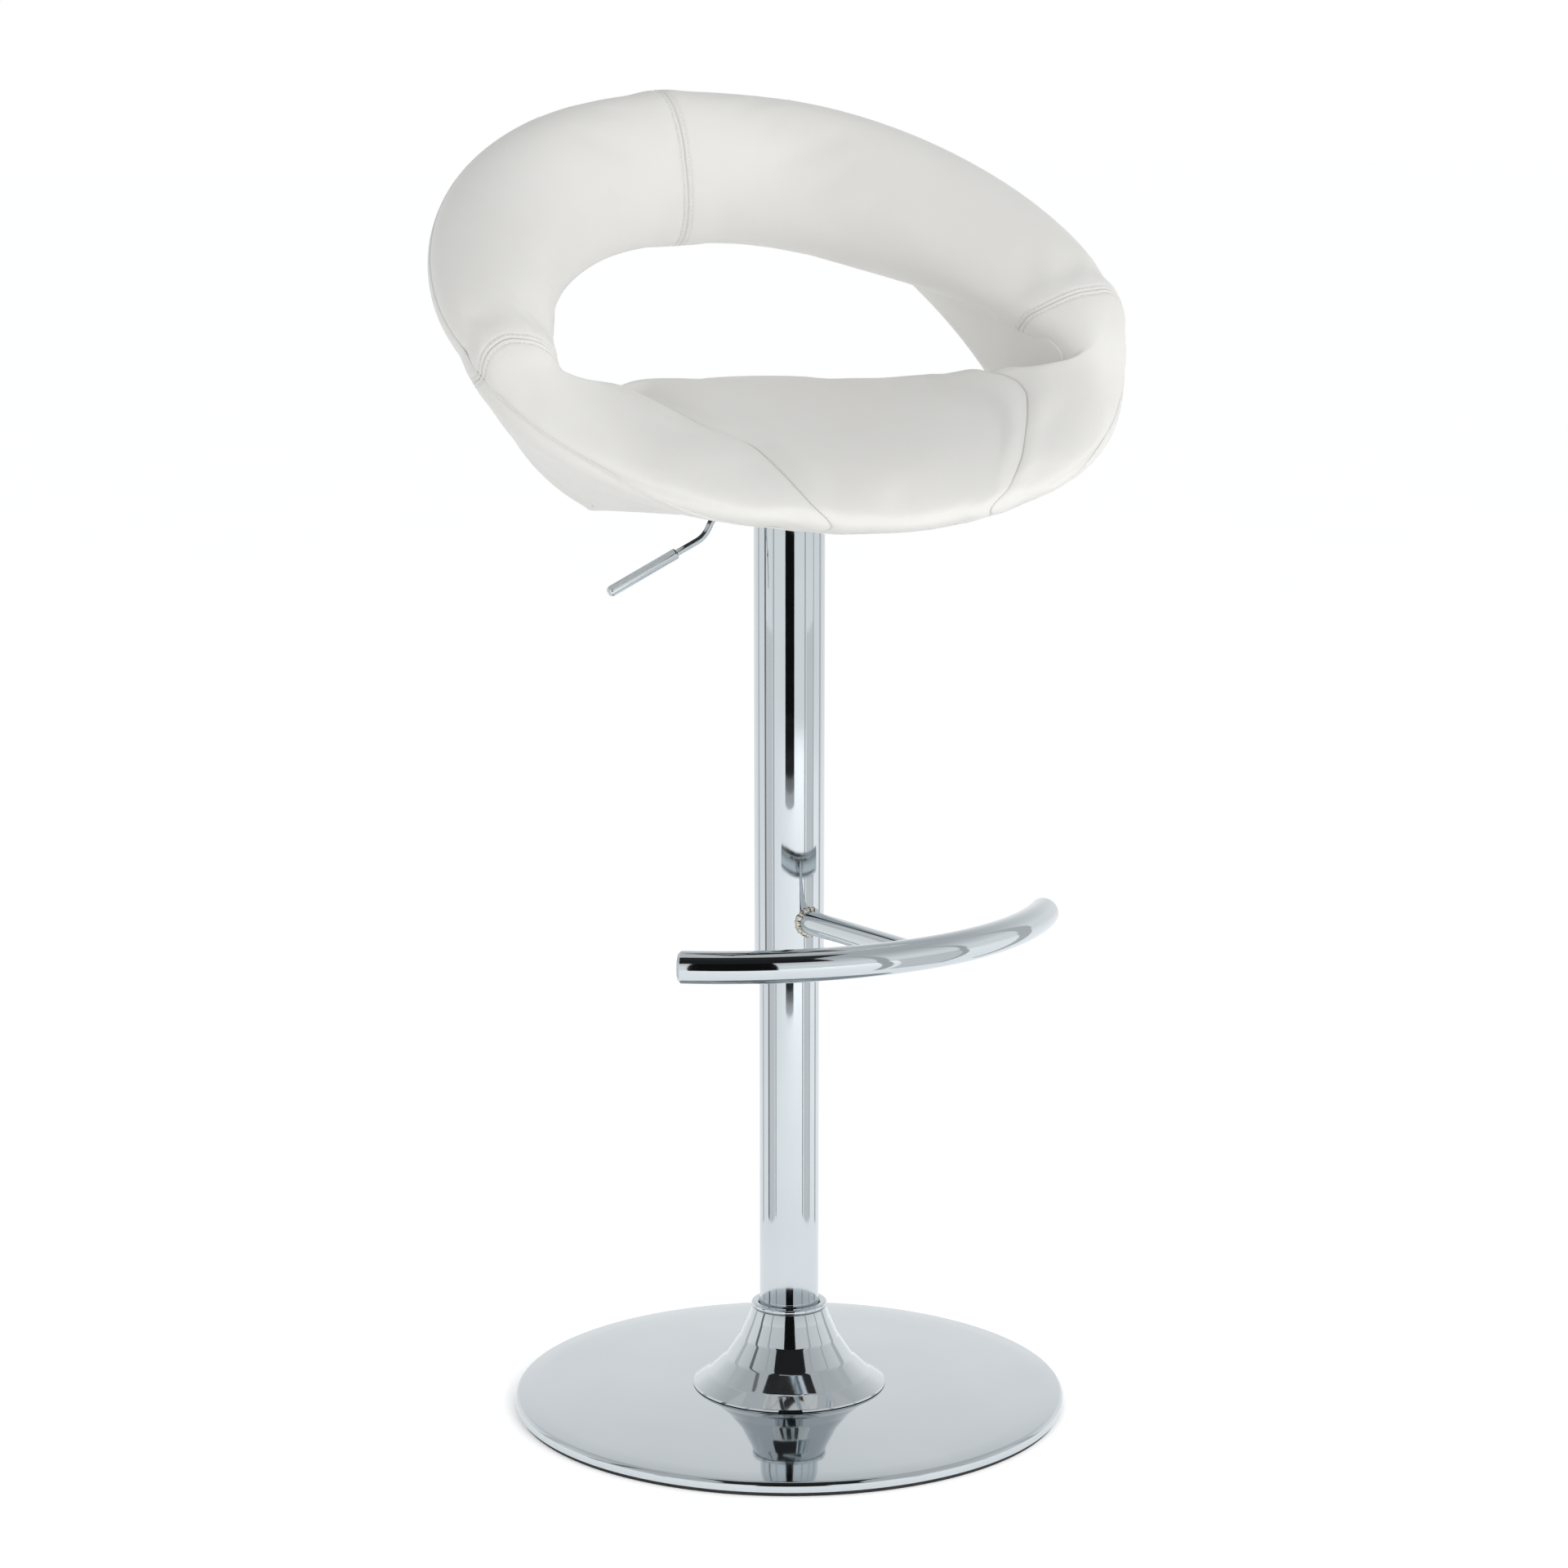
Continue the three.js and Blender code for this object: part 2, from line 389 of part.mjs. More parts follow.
// ---------------------------------------------------------------- seat frame
const section = (t) => {
  const s = Math.sin(t), c = Math.cos(t), u = (1 - c) / 2;
  const S = Math.sign(s) * Math.pow(Math.abs(s), RING.pw);
  const O = V3(RING.Wo * S, RING.yo - RING.Do * c, RING.zo0 + (RING.zo1 - RING.zo0) * Math.pow(u, RING.ko));
  const I = V3(RING.Wi * S, RING.yi0 + (RING.yi1 - RING.yi0) * u + RING.yib * s * s, RING.zi0 + (RING.zi1 - RING.zi0) * Math.pow(u, RING.ki));
  const M = O.clone().add(I).multiplyScalar(0.5);
  const k = Math.pow(u, RING.kb);
  const B = V3(RING.Wb * S, RING.yb - RING.Db * c, RING.zb).multiplyScalar(1 - k).add(M.clone().multiplyScalar(k));
  const b = RING.bf * Math.max(0, 1 - 2 * u) + RING.bs * (1 - Math.abs(2 * u - 1)) + RING.bb * Math.max(0, 2 * u - 1);
  return { O, I, M, B, b, u };
};
const frameAt = (t) => {
  const q = section(t);
  const T = section(t + 1e-3).M.sub(section(t - 1e-3).M).normalize();
  const U = q.O.clone().sub(q.I); const half = U.length() / 2; U.normalize();
  const N = V3().crossVectors(U, T).normalize();
  return { ...q, T, U, N, half };
};
const ringLoft = (grow) => {
  const rows = [];
  for (let i = 0; i <= STATIONS; i++) {
    const f = frameAt((i % STATIONS) / STATIONS * Math.PI * 2);
    const e = 2 / (RING.exf + (RING.ex - RING.exf) * Math.min(1, f.u * 1.6));
    const row = [];
    for (let j = 0; j < RING_SIDES; j++) {
      const a = j / RING_SIDES * Math.PI * 2;
      const cu = Math.sign(Math.cos(a)) * Math.pow(Math.abs(Math.cos(a)), e), sn = Math.sign(Math.sin(a)) * Math.pow(Math.abs(Math.sin(a)), e);
      row.push(f.M.clone().add(f.U.clone().multiplyScalar((f.half + grow) * cu)).add(f.N.clone().multiplyScalar((f.b + grow) * sn)));
    }
    rows.push(row);
  }
  return loft(rows);
};
// steel hoop that the ring back is upholstered on: near the outer edge in front, in the middle of the roll behind
const hoopAt = (t) => {
  const f = frameAt(t);
  const d = 38 + (Math.max(f.half, 38) - 38) * 0 + (f.half - 38) * f.u * f.u;
  const p = f.O.clone().sub(f.U.clone().multiplyScalar(d));
  return p;
};
const hoopLoft = (r, sides) => {
  const rows = [];
  for (let i = 0; i <= STATIONS; i++) {
    const t = (i % STATIONS) / STATIONS * Math.PI * 2;
    const p = hoopAt(t);
    const T = hoopAt(t + 1e-3).sub(hoopAt(t - 1e-3)).normalize();
    const f = frameAt(t);
    const U = f.U.clone().sub(T.clone().multiplyScalar(f.U.dot(T))).normalize();
    const N = V3().crossVectors(U, T).normalize();
    const row = [];
    for (let j = 0; j < sides; j++) {
      const a = j / sides * Math.PI * 2;
      row.push(p.clone().add(U.clone().multiplyScalar(r * Math.cos(a))).add(N.clone().multiplyScalar(r * Math.sin(a))));
    }
    rows.push(row);
  }
  return loft(rows);
};
put('seat', 'back_hoop', closed(hoopLoft(HOOP_R, 8)), blackSteel());
const boardHoles = [];
for (const x of [-54, 54]) for (const y of [-66, 66]) { const g = disc(3.4, 740, 760, 10); g.translate(x, y, 0); boardHoles.push(['cut', g]); }
put('seat', 'seat_board', made(plate(-BOARD_HALF_X, BOARD_HALF_X, BOARD_FRONT_Y, BOARD_REAR_Y, 60, BOARD_Z, BOARD_Z + BOARD_T), ...boardHoles), plywood());
// two flat straps carry the hoop on the underside of the board
for (const side of [-1, 1]) {
  const x = side * STRAP_X;
  put('seat', side < 0 ? 'hoop_strap_right' : 'hoop_strap_left', boxFrom(x - 13, x + 13, STRAP_FRONT_Y, BOARD_REAR_Y - 20, FLANGE_TOP_Z - BRACKET_T, FLANGE_TOP_Z), blackSteel());
}

// ---------------------------------------------------------------- upholstery: plain solids of the sewn, foam-filled sections
const ringSolid = solid(ringLoft(0));
const tunnel = solid(hoopLoft(HOOP_R + 0.8, 8));
const boardClear = solid(plate(-BOARD_HALF_X - 0.6, BOARD_HALF_X + 0.6, BOARD_FRONT_Y - 0.6, BOARD_REAR_Y + 0.6, 60, BOARD_Z - 0.6, BOARD_Z + BOARD_T + 0.6));
const bracketClear = solid(plate(-96, 96, -100, 92, 20, 700, BOARD_Z + 1));
const strapClear = [-1, 1].map((s) => solid(boxFrom(s * STRAP_X - 14, s * STRAP_X + 14, STRAP_FRONT_Y - 1, BOARD_REAR_Y, 735, BOARD_Z + 0.2)));

// a thin slab across the roll at angle t, as wide as a sewn joint's gap
const slabAt = (t, thick = 0.6) => {
  const f = frameAt(t);
  const g = new THREE.BoxGeometry(260, 260, thick);
  const m = new THREE.Matrix4().makeBasis(f.U, f.N, f.T);
  g.applyMatrix4(m);
  g.translate(f.M.x, f.M.y, f.M.z);
  return solid(g);
};
// an upright prism over a plan outline
const prism = (pts, z0, z1) => {
  const s = new THREE.Shape(pts.map(([x, y]) => V2(x, y)));
  const g = new THREE.ExtrudeGeometry(s, { depth: z1 - z0, bevelEnabled: false });
  g.translate(0, 0, z0);
  return solid(g);
};
// side seams of the seat panel in plan, from the rear corner to the front lip
const panelOutline = (d) => [...PAD_SEAM.map(([x, y]) => [x + d, y]), ...PAD_SEAM.slice().reverse().map(([x, y]) => [-x - d, y])];
const armL = slabAt(ARM_SEAM_DEG * DEG), armR = slabAt((360 - ARM_SEAM_DEG) * DEG);
const backMid = solid(boxFrom(-0.3, 0.3, 60, 300, 820, 1120));

const foam = ringSolid.subtract(tunnel);
const padZone = prism(panelOutline(-0.3), 650, 900);
const padWide = prism(panelOutline(0.3), 650, 900);
// seat panel: the part of the front that lies between the side seams
const frontHalf = solid(boxFrom(-400, 400, -400, PAD_REAR_LIMIT_Y, 650, 880));
const panel = foam.intersect(padZone).intersect(frontHalf).subtract(boardClear).subtract(bracketClear).subtract(strapClear[0]).subtract(strapClear[1]);
put('seat', 'seat_panel_cushion', geometryOf(mainBody(panel)), white());
const rest = foam.subtract(padWide.intersect(frontHalf)).subtract(armL).subtract(armR).subtract(backMid).subtract(boardClear).subtract(strapClear[0]).subtract(strapClear[1]).subtract(bracketClear);
// the four lengths of roll, told apart by where they lie
const lengths = rest.decompose().filter((m) => m.volume() > 20000);
const centre = (m) => { const b = m.boundingBox(); return [(b.min[0] + b.max[0]) / 2, (b.min[1] + b.max[1]) / 2, (b.min[2] + b.max[2]) / 2]; };
const named = { back_roll_left: null, back_roll_right: null, arm_roll_left: null, arm_roll_right: null };
for (const m of lengths) {
  const [x, y, z] = centre(m);
  const key = (z > 930 ? 'back_roll_' : 'arm_roll_') + (x > 0 ? 'left' : 'right');
  if (!named[key] || m.volume() > named[key].volume()) named[key] = m;
}
for (const [k, m] of Object.entries(named)) put('seat', k, geometryOf(m), white());

// lower shell of the seat: from the outer edge of the roll down to the flat underside
{
  const rows = [];
  const LIMIT = 165 * DEG, COUNT = 38;
  for (let i = 0; i <= COUNT; i++) {
    const t = -LIMIT + 2 * LIMIT * i / COUNT;
    const q = section(t);
    const k = Math.min(1, Math.max(0, (Math.abs(t) / DEG - 78) / 40));
    const low = V3(q.I.x, q.I.y, RING.zb);
    // keep the lower rear edge inside the flank
    const inner = low.lerp(q.B.clone().lerp(q.I, 0.12), k * k * (3 - 2 * k));
    rows.push([q.I.clone().lerp(q.O, 0.04), q.O.clone().lerp(q.I, 0.02), q.B, inner]);
  }
  const raw = solid(loft(rows, true));
  const shell = raw.subtract(solid(ringLoft(0.45))).subtract(tunnel).subtract(boardClear).subtract(bracketClear).subtract(strapClear[0]).subtract(strapClear[1]);
  put('seat', 'seat_lower_shell', geometryOf(mainBody(shell)), white());
}

export default part;
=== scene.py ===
# Looks of the adjustable swivel stool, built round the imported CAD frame. Metres, the same frame as the CAD.
import bpy, math
import numpy as np
from mathutils import Matrix, Vector


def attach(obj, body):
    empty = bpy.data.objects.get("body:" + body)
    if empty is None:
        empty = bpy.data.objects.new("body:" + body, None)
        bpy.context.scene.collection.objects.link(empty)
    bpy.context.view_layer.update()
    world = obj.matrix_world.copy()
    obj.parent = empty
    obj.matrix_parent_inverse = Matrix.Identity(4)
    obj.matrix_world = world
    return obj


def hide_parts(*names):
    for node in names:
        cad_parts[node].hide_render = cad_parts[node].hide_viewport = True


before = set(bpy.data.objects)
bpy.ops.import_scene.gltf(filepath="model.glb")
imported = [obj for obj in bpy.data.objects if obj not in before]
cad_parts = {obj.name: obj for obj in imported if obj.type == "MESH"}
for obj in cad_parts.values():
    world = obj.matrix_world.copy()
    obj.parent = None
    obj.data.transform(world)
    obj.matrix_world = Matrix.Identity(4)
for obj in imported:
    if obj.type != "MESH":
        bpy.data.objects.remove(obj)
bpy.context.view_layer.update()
scene = bpy.context.scene
TAU = 2 * math.pi
MM = 0.001

# ------------------------------------------------------------------ camera
AZ, PITCH = math.radians(-25.5), math.radians(9.98)
back = Vector((math.sin(AZ) * math.cos(PITCH), -math.cos(AZ) * math.cos(PITCH), math.sin(PITCH)))
cam_data = bpy.data.cameras.new("photo_view")
cam = bpy.data.objects.new("photo_view", cam_data)
scene.collection.objects.link(cam)
cam_data.sensor_width = 36.0
cam_data.lens = 36.0 * 4559.0 / 1920.0
cam_data.clip_start, cam_data.clip_end = 0.05, 400.0
cam.rotation_mode = "QUATERNION"
cam.location = (-1.2640, -2.6402, 1.0282)
cam.rotation_quaternion = (-back).to_track_quat("-Z", "Y")
scene.camera = cam
scene.view_settings.view_transform = "Standard"
scene.view_settings.look = "None"

# ------------------------------------------------------------------ materials
def new_mat(name):
    m = bpy.data.materials.new(name)
    m.use_nodes = True
    nt = m.node_tree
    nt.nodes.clear()
    out = nt.nodes.new("ShaderNodeOutputMaterial")
    b = nt.nodes.new("ShaderNodeBsdfPrincipled")
    nt.links.new(b.outputs["BSDF"], out.inputs["Surface"])
    tc = nt.nodes.new("ShaderNodeTexCoord")
    return m, nt, b, tc.outputs["Object"]

def noise(nt, vec, scale, detail=3.0, rough=0.5):
    n = nt.nodes.new("ShaderNodeTexNoise")
    n.inputs["Scale"].default_value = scale
    n.inputs["Detail"].default_value = detail
    n.inputs["Roughness"].default_value = rough
    nt.links.new(vec, n.inputs["Vector"])
    return n.outputs["Fac"]

def ramp(nt, fac, stops):
    r = nt.nodes.new("ShaderNodeValToRGB")
    while len(r.color_ramp.elements) < len(stops):
        r.color_ramp.elements.new(0.5)
    for e, (p, c) in zip(r.color_ramp.elements, stops):
        e.position = p
        e.color = (*c, 1.0) if len(c) == 3 else c
    nt.links.new(fac, r.inputs["Fac"])
    return r.outputs["Color"]

def remap(nt, fac, a, b, c, d):
    m = nt.nodes.new("ShaderNodeMapRange")
    m.inputs["From Min"].default_value, m.inputs["From Max"].default_value = a, b
    m.inputs["To Min"].default_value, m.inputs["To Max"].default_value = c, d
    nt.links.new(fac, m.inputs["Value"])
    return m.outputs["Result"]

def bump(nt, bsdf, height, strength, distance, prev=None):
    b = nt.nodes.new("ShaderNodeBump")
    b.inputs["Strength"].default_value = strength
    b.inputs["Distance"].default_value = distance
    nt.links.new(height, b.inputs["Height"])
    if prev is not None:
        nt.links.new(prev, b.inputs["Normal"])
    nt.links.new(b.outputs["Normal"], bsdf.inputs["Normal"])
    return b.outputs["Normal"]

def make_leather():
    m, nt, b, vec = new_mat("white_pu_leather")
    tone = ramp(nt, noise(nt, vec, 7.0, 4.0, 0.55), [(0.25, (0.640, 0.630, 0.604)), (0.5, (0.664, 0.656, 0.633)), (0.78, (0.684, 0.678, 0.658))])
    # painted shade: the leather is mixed towards a darker warm grey in the sewn grooves and the dips beside them, where
    # shade falls
    at = nt.nodes.new("ShaderNodeAttribute"); at.attribute_name = "painted_groove_shade"
    mix = nt.nodes.new("ShaderNodeMix"); mix.data_type = "RGBA"
    nt.links.new(at.outputs["Fac"], mix.inputs[0])
    nt.links.new(tone, mix.inputs[6])
    mix.inputs[7].default_value = (0.50, 0.485, 0.45, 1)
    nt.links.new(mix.outputs[2], b.inputs["Base Color"])
    vor = nt.nodes.new("ShaderNodeTexVoronoi"); vor.feature = "DISTANCE_TO_EDGE"
    vor.inputs["Scale"].default_value = 720.0
    vor.inputs["Randomness"].default_value = 0.9
    nt.links.new(vec, vor.inputs["Vector"])
    pebble = remap(nt, vor.outputs["Distance"], 0.0, 0.22, 0.0, 1.0)
    rough = remap(nt, noise(nt, vec, 16.0, 5.0, 0.6), 0.3, 0.7, 0.40, 0.50)
    nt.links.new(rough, b.inputs["Roughness"])
    n1 = bump(nt, b, noise(nt, vec, 55.0, 4.0, 0.6), 0.10, 0.0006)
    bump(nt, b, pebble, 0.16, 0.00012, n1)
    b.inputs["Specular IOR Level"].default_value = 0.42
    b.inputs["Coat Weight"].default_value = 0.06
    b.inputs["Coat Roughness"].default_value = 0.30
    return m

def make_thread():
    m, nt, b, vec = new_mat("white_thread")
    nt.links.new(ramp(nt, noise(nt, vec, 900.0, 2.0), [(0.3, (0.70, 0.69, 0.655)), (0.7, (0.83, 0.82, 0.79))]), b.inputs["Base Color"])
    w = nt.nodes.new("ShaderNodeTexWave"); w.inputs["Scale"].default_value = 1400.0; w.inputs["Distortion"].default_value = 1.0
    nt.links.new(vec, w.inputs["Vector"])
    bump(nt, b, w.outputs["Fac"], 0.4, 0.0001)
    b.inputs["Roughness"].default_value = 0.7
    return m

def make_chrome(name="chrome_plate", rough=(0.035, 0.075), color=((0.565, 0.612, 0.640), (0.600, 0.645, 0.672))):
    m, nt, b, vec = new_mat(name)
    nt.links.new(ramp(nt, noise(nt, vec, 9.0, 3.0), [(0.3, color[0]), (0.7, color[1])]), b.inputs["Base Color"])
    b.inputs["Metallic"].default_value = 1.0
    # faint wiping marks and handling haze
    smear = noise(nt, vec, 34.0, 6.0, 0.65)
    nt.links.new(remap(nt, smear, 0.35, 0.75, rough[0], rough[1]), b.inputs["Roughness"])
    bump(nt, b, noise(nt, vec, 60.0, 2.0), 0.02, 0.0004)
    return m

def make_simple(name, c0, c1, rough, scale, metallic=0.0, bump_s=0.2, bump_d=0.0004, detail=5.0):
    m, nt, b, vec = new_mat(name)
    f = noise(nt, vec, scale, detail, 0.6)
    nt.links.new(ramp(nt, f, [(0.3, c0), (0.72, c1)]), b.inputs["Base Color"])
    b.inputs["Metallic"].default_value = metallic
    nt.links.new(remap(nt, noise(nt, vec, scale * 2.3, 4.0), 0.3, 0.7, rough[0], rough[1]), b.inputs["Roughness"])
    bump(nt, b, f, bump_s, bump_d)
    return m

def make_plywood():
    m, nt, b, vec = new_mat("birch_plywood")
    mp = nt.nodes.new("ShaderNodeMapping"); mp.inputs["Scale"].default_value = (6.0, 60.0, 60.0)
    nt.links.new(vec, mp.inputs["Vector"])
    g = noise(nt, mp.outputs["Vector"], 4.0, 6.0, 0.6)
    nt.links.new(ramp(nt, g, [(0.3, (0.50, 0.35, 0.20)), (0.55, (0.62, 0.46, 0.28)), (0.75, (0.70, 0.54, 0.35))]), b.inputs["Base Color"])
    b.inputs["Roughness"].default_value = 0.62
    bump(nt, b, g, 0.2, 0.0003)
    return m

LEATHER, THREAD, CHROME = make_leather(), make_thread(), make_chrome()
WELT = make_simple("white_welt", (0.65, 0.64, 0.62), (0.69, 0.68, 0.66), (0.35, 0.45), 120.0)
STEEL = make_simple("zinc_steel", (0.36, 0.37, 0.38), (0.50, 0.51, 0.52), (0.28, 0.45), 90.0, 1.0, 0.08)
WELD = make_simple("plated_weld", (0.50, 0.50, 0.47), (0.66, 0.62, 0.52), (0.12, 0.28), 260.0, 1.0, 0.35, 0.0005)
BLACK_STEEL = make_simple("black_painted_steel", (0.012, 0.012, 0.013), (0.030, 0.030, 0.032), (0.38, 0.55), 220.0, 0.2, 0.25)
IRON = make_simple("cast_iron_weight", (0.035, 0.035, 0.037), (0.075, 0.075, 0.078), (0.55, 0.8), 140.0, 0.6, 0.5, 0.0008)
RUBBER = make_simple("black_rubber", (0.010, 0.010, 0.011), (0.024, 0.024, 0.025), (0.6, 0.85), 300.0, 0.0, 0.3)
BLACK_PLASTIC = make_simple("black_plastic_moulded", (0.010, 0.010, 0.011), (0.022, 0.022, 0.024), (0.3, 0.5), 400.0, 0.0, 0.15)
GREY_PLASTIC = make_simple("grey_plastic_moulded", (0.40, 0.42, 0.44), (0.50, 0.52, 0.54), (0.35, 0.5), 300.0, 0.0, 0.15)
PLY = make_plywood()

# ------------------------------------------------------------------ mesh helpers (inputs in millimetres)
def mesh_obj(name, verts, faces, mat, body, smooth=True):
    me = bpy.data.meshes.new(name)
    me.from_pydata((np.asarray(verts, float) * MM).tolist(), [], [list(map(int, f)) for f in faces])
    me.validate(clean_customdata=False)
    me.polygons.foreach_set("use_smooth", [smooth] * len(me.polygons))
    me.materials.append(mat)
    o = bpy.data.objects.new(name, me)
    scene.collection.objects.link(o)
    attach(o, body)
    return o

def round_profile(pts, closed=True, default=0.5, seg=3):
    """corner-rounded profile; a point may carry its own radius as a third value"""
    n = len(pts); out = []
    for i in range(n):
        p = np.array(pts[i][:2], float); r = pts[i][2] if len(pts[i]) > 2 else default
        if not closed and i in (0, n - 1):
            out.append(p); continue
        a, c = np.array(pts[i - 1][:2], float), np.array(pts[(i + 1) % n][:2], float)
        da, dc = a - p, c - p
        la, lc = np.linalg.norm(da), np.linalg.norm(dc)
        ua, uc = da / la, dc / lc
        cosang = float(np.clip(ua @ uc, -1, 1)); ang = math.acos(cosang)
        if r <= 0 or ang > math.radians(176):
            out.append(p); continue
        t = min(r / math.tan(ang / 2), 0.45 * la, 0.45 * lc)
        p0, p1 = p + ua * t, p + uc * t
        for k in range(seg + 1):
            w = k / seg
            out.append((1 - w) ** 2 * p0 + 2 * w * (1 - w) * p + w * w * p1)
    return out

def lathe(name, pts, mat, body, segments=160, rounding=0.4, centre=(0, 0)):
    prof = round_profile(pts, True, rounding)
    n = len(prof); ang = np.arange(segments) / segments * TAU
    V = np.array([[centre[0] + r * math.cos(a), centre[1] + r * math.sin(a), z] for a in ang for r, z in prof])
    F = [[i * n + j, i * n + (j + 1) % n, ((i + 1) % segments) * n + (j + 1) % n, ((i + 1) % segments) * n + j] for i in range(segments) for j in range(n)]
    o = mesh_obj(name, V, F, mat, body)
    fix_out(o)
    return o

def fix_out(o):
    import bmesh
    bm = bmesh.new(); bm.from_mesh(o.data)
    bmesh.ops.recalc_face_normals(bm, faces=bm.faces)
    if bm.calc_volume(signed=True) < 0:
        bmesh.ops.reverse_faces(bm, faces=bm.faces)
    bm.to_mesh(o.data); bm.free()

def frames_along(P):
    P = np.asarray(P, float)
    T = np.gradient(P, axis=0); T /= np.linalg.norm(T, axis=1)[:, None]
    N = np.zeros_like(P); a = np.array([0, 0, 1.0]) if abs(T[0][2]) < 0.9 else np.array([1.0, 0, 0])
    v = a - T[0] * (a @ T[0]); N[0] = v / np.linalg.norm(v)
    for i in range(1, len(P)):
        v = N[i - 1] - T[i] * (N[i - 1] @ T[i]); N[i] = v / np.linalg.norm(v)
    return T, N, np.cross(T, N)

def tube_along(name, P, radii, mat, body, sides=24, caps=True):
    P = np.asarray(P, float); n = len(P)
    radii = np.full(n, radii) if np.isscalar(radii) else np.asarray(radii, float)
    T, N, B = frames_along(P)
    a = np.arange(sides) / sides * TAU
    V = (P[:, None, :] + radii[:, None, None] * (np.cos(a)[None, :, None] * N[:, None, :] + np.sin(a)[None, :, None] * B[:, None, :])).reshape(-1, 3)
    F = [[i * sides + j, i * sides + (j + 1) % sides, (i + 1) * sides + (j + 1) % sides, (i + 1) * sides + j] for i in range(n - 1) for j in range(sides)]
    if caps:
        F += [list(range(sides))[::-1], [(n - 1) * sides + j for j in range(sides)]]
    o = mesh_obj(name, V, F, mat, body)
    fix_out(o)
    return o

def resample(P, step):
    P = np.asarray(P, float)
    d = np.concatenate([[0], np.cumsum(np.linalg.norm(np.diff(P, axis=0), axis=1))])
    n = max(2, int(d[-1] / step) + 1)
    s = np.linspace(0, d[-1], n)
    return np.stack([np.interp(s, d, P[:, k]) for k in range(3)], 1)

def rounded_path(pts, r, seg=10):
    out = [np.array(pts[0], float)]
    for i in range(1, len(pts) - 1):
        a, p, c = (np.array(q, float) for q in (pts[i - 1], pts[i], pts[i + 1]))
        la, lc = np.linalg.norm(a - p), np.linalg.norm(c - p)
        t = min(r, 0.48 * la, 0.48 * lc)
        p0, p1 = p + (a - p) / la * t, p + (c - p) / lc * t
        for k in range(seg + 1):
            w = k / seg
            out.append((1 - w) ** 2 * p0 + 2 * w * (1 - w) * p + w * w * p1)
    out.append(np.array(pts[-1], float))
    return np.array(out)

# ------------------------------------------------------------------ base and column
disc = lathe("base_disc_plate", [(30, 15.6, 0), (60, 15.6, 0), (82, 15.55, 0), (110, 15.2, 0), (150, 14.2, 0), (180, 13.45, 0), (205, 12.7, 6), (222.4, 11.6, 3.0), (224.6, 9.0, 1.5), (225, 3.7, 0.3), (223.7, 3.7, 0.3), (222.9, 8.4, 1.5), (219.2, 10.3, 3), (204.6, 11.4, 6), (149.8, 12.9, 0), (81.8, 14.3, 0), (30, 14.3, 0)], CHROME, "base", 256)
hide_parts("base_disc")
pad = lathe("floor_pad_sheet", [(2, 0.05, 0.3), (222.6, 0.05, 0.8), (222.8, 3.45, 0.4), (2, 3.45, 0.3)], RUBBER, "base", 160)
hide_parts("floor_pad")
bell = lathe("trumpet_bell", [(79, 16.0, 0.25), (78.2, 17.6, 0.8), (66, 25.6, 14), (52, 38.8, 14), (40.5, 55.6, 14), (33.2, 71.5, 14), (30.0, 80.4, 0.4), (28.6, 80.4, 0.3), (31.9, 71.1, 14), (39.3, 55.1, 14), (51.0, 38.0, 14), (65.2, 24.7, 14), (76.8, 16.9, 0.3), (77.2, 16.0, 0.2)], CHROME, "base", 192)
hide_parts("trumpet_cover")
collar = lathe("collar_ring_turned", [(24.6, 79.4, 0.2), (28.0, 79.4, 0.2), (28.0, 80.8, 0.1), (31.0, 80.8, 1.2), (31.0, 84.9, 2.1), (26.2, 85.0, 0.6), (24.6, 83.2, 0.2)], CHROME, "base", 128)
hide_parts("collar_ring")
tube = lathe("lower_column_tube", [(22.75, 16.0, 0.2), (24.25, 16.0, 0.2), (24.25, 240, 0), (24.25, 469, 0.5), (22.75, 469, 0.3), (22.75, 240, 0)], CHROME, "base", 128)
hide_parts("lower_tube")
sleeve = lathe("outer_column_sleeve", [(26.8, 378.0, 0.3), (28.3, 378.0, 0.7), (28.3, 550, 0), (28.3, 723, 0.5), (26.8, 723, 0.3), (26.8, 550, 0)], CHROME, "seat_carriage", 128)
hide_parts("column_sleeve")

# ------------------------------------------------------------------ footrest, turned 9 degrees on the column
TURN = math.radians(9)
def turn(P):
    P = np.asarray(P, float); c, s = math.cos(TURN), math.sin(TURN)
    return np.stack([c * P[..., 0] - s * P[..., 1], s * P[..., 0] + c * P[..., 1], P[..., 2]], -1)
ARC_R, FRONT, HALF, BAR_R = 263.0, 174.0, math.radians(41.3), 12.7
def bar_point(a, z=406.0, dr=0.0):
    return [(ARC_R + dr) * math.sin(a), ARC_R - FRONT - (ARC_R + dr) * math.cos(a), z]
n = 120
aa = np.linspace(-HALF, HALF, n)
ends = []
# the tube with a domed, rolled plug at each end
def end_profile(side):
    # distance beyond the cut and radius there
    return [(0.0, BAR_R), (0.25, BAR_R - 0.05), (0.6, BAR_R - 0.35), (0.75, BAR_R - 0.75), (0.9, BAR_R - 0.95), (1.3, BAR_R - 1.0), (2.0, BAR_R - 1.35), (2.6, BAR_R - 2.6), (2.9, BAR_R - 5.0), (3.05, BAR_R - 9.0), (3.1, 0.4)]
P, R = [], []
for d, r in reversed(end_profile(-1)):
    p = np.array(bar_point(-HALF)); t = np.array([math.cos(HALF), -math.sin(HALF), 0]); P.append(p - t * d); R.append(r)
for a in aa[1:-1]:
    P.append(np.array(bar_point(a))); R.append(BAR_R)
for d, r in end_profile(1):
    p = np.array(bar_point(HALF)); t = np.array([math.cos(HALF), math.sin(HALF), 0]); P.append(p + t * d); R.append(r)
bar = tube_along("footrest_bar_tube", turn(np.array(P)), R, CHROME, "seat_carriage", 48)
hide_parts("footrest_bar", "footrest_cap_right", "footrest_cap_left")
yy_ = np.linspace(-27.5, -FRONT + 4, 40)
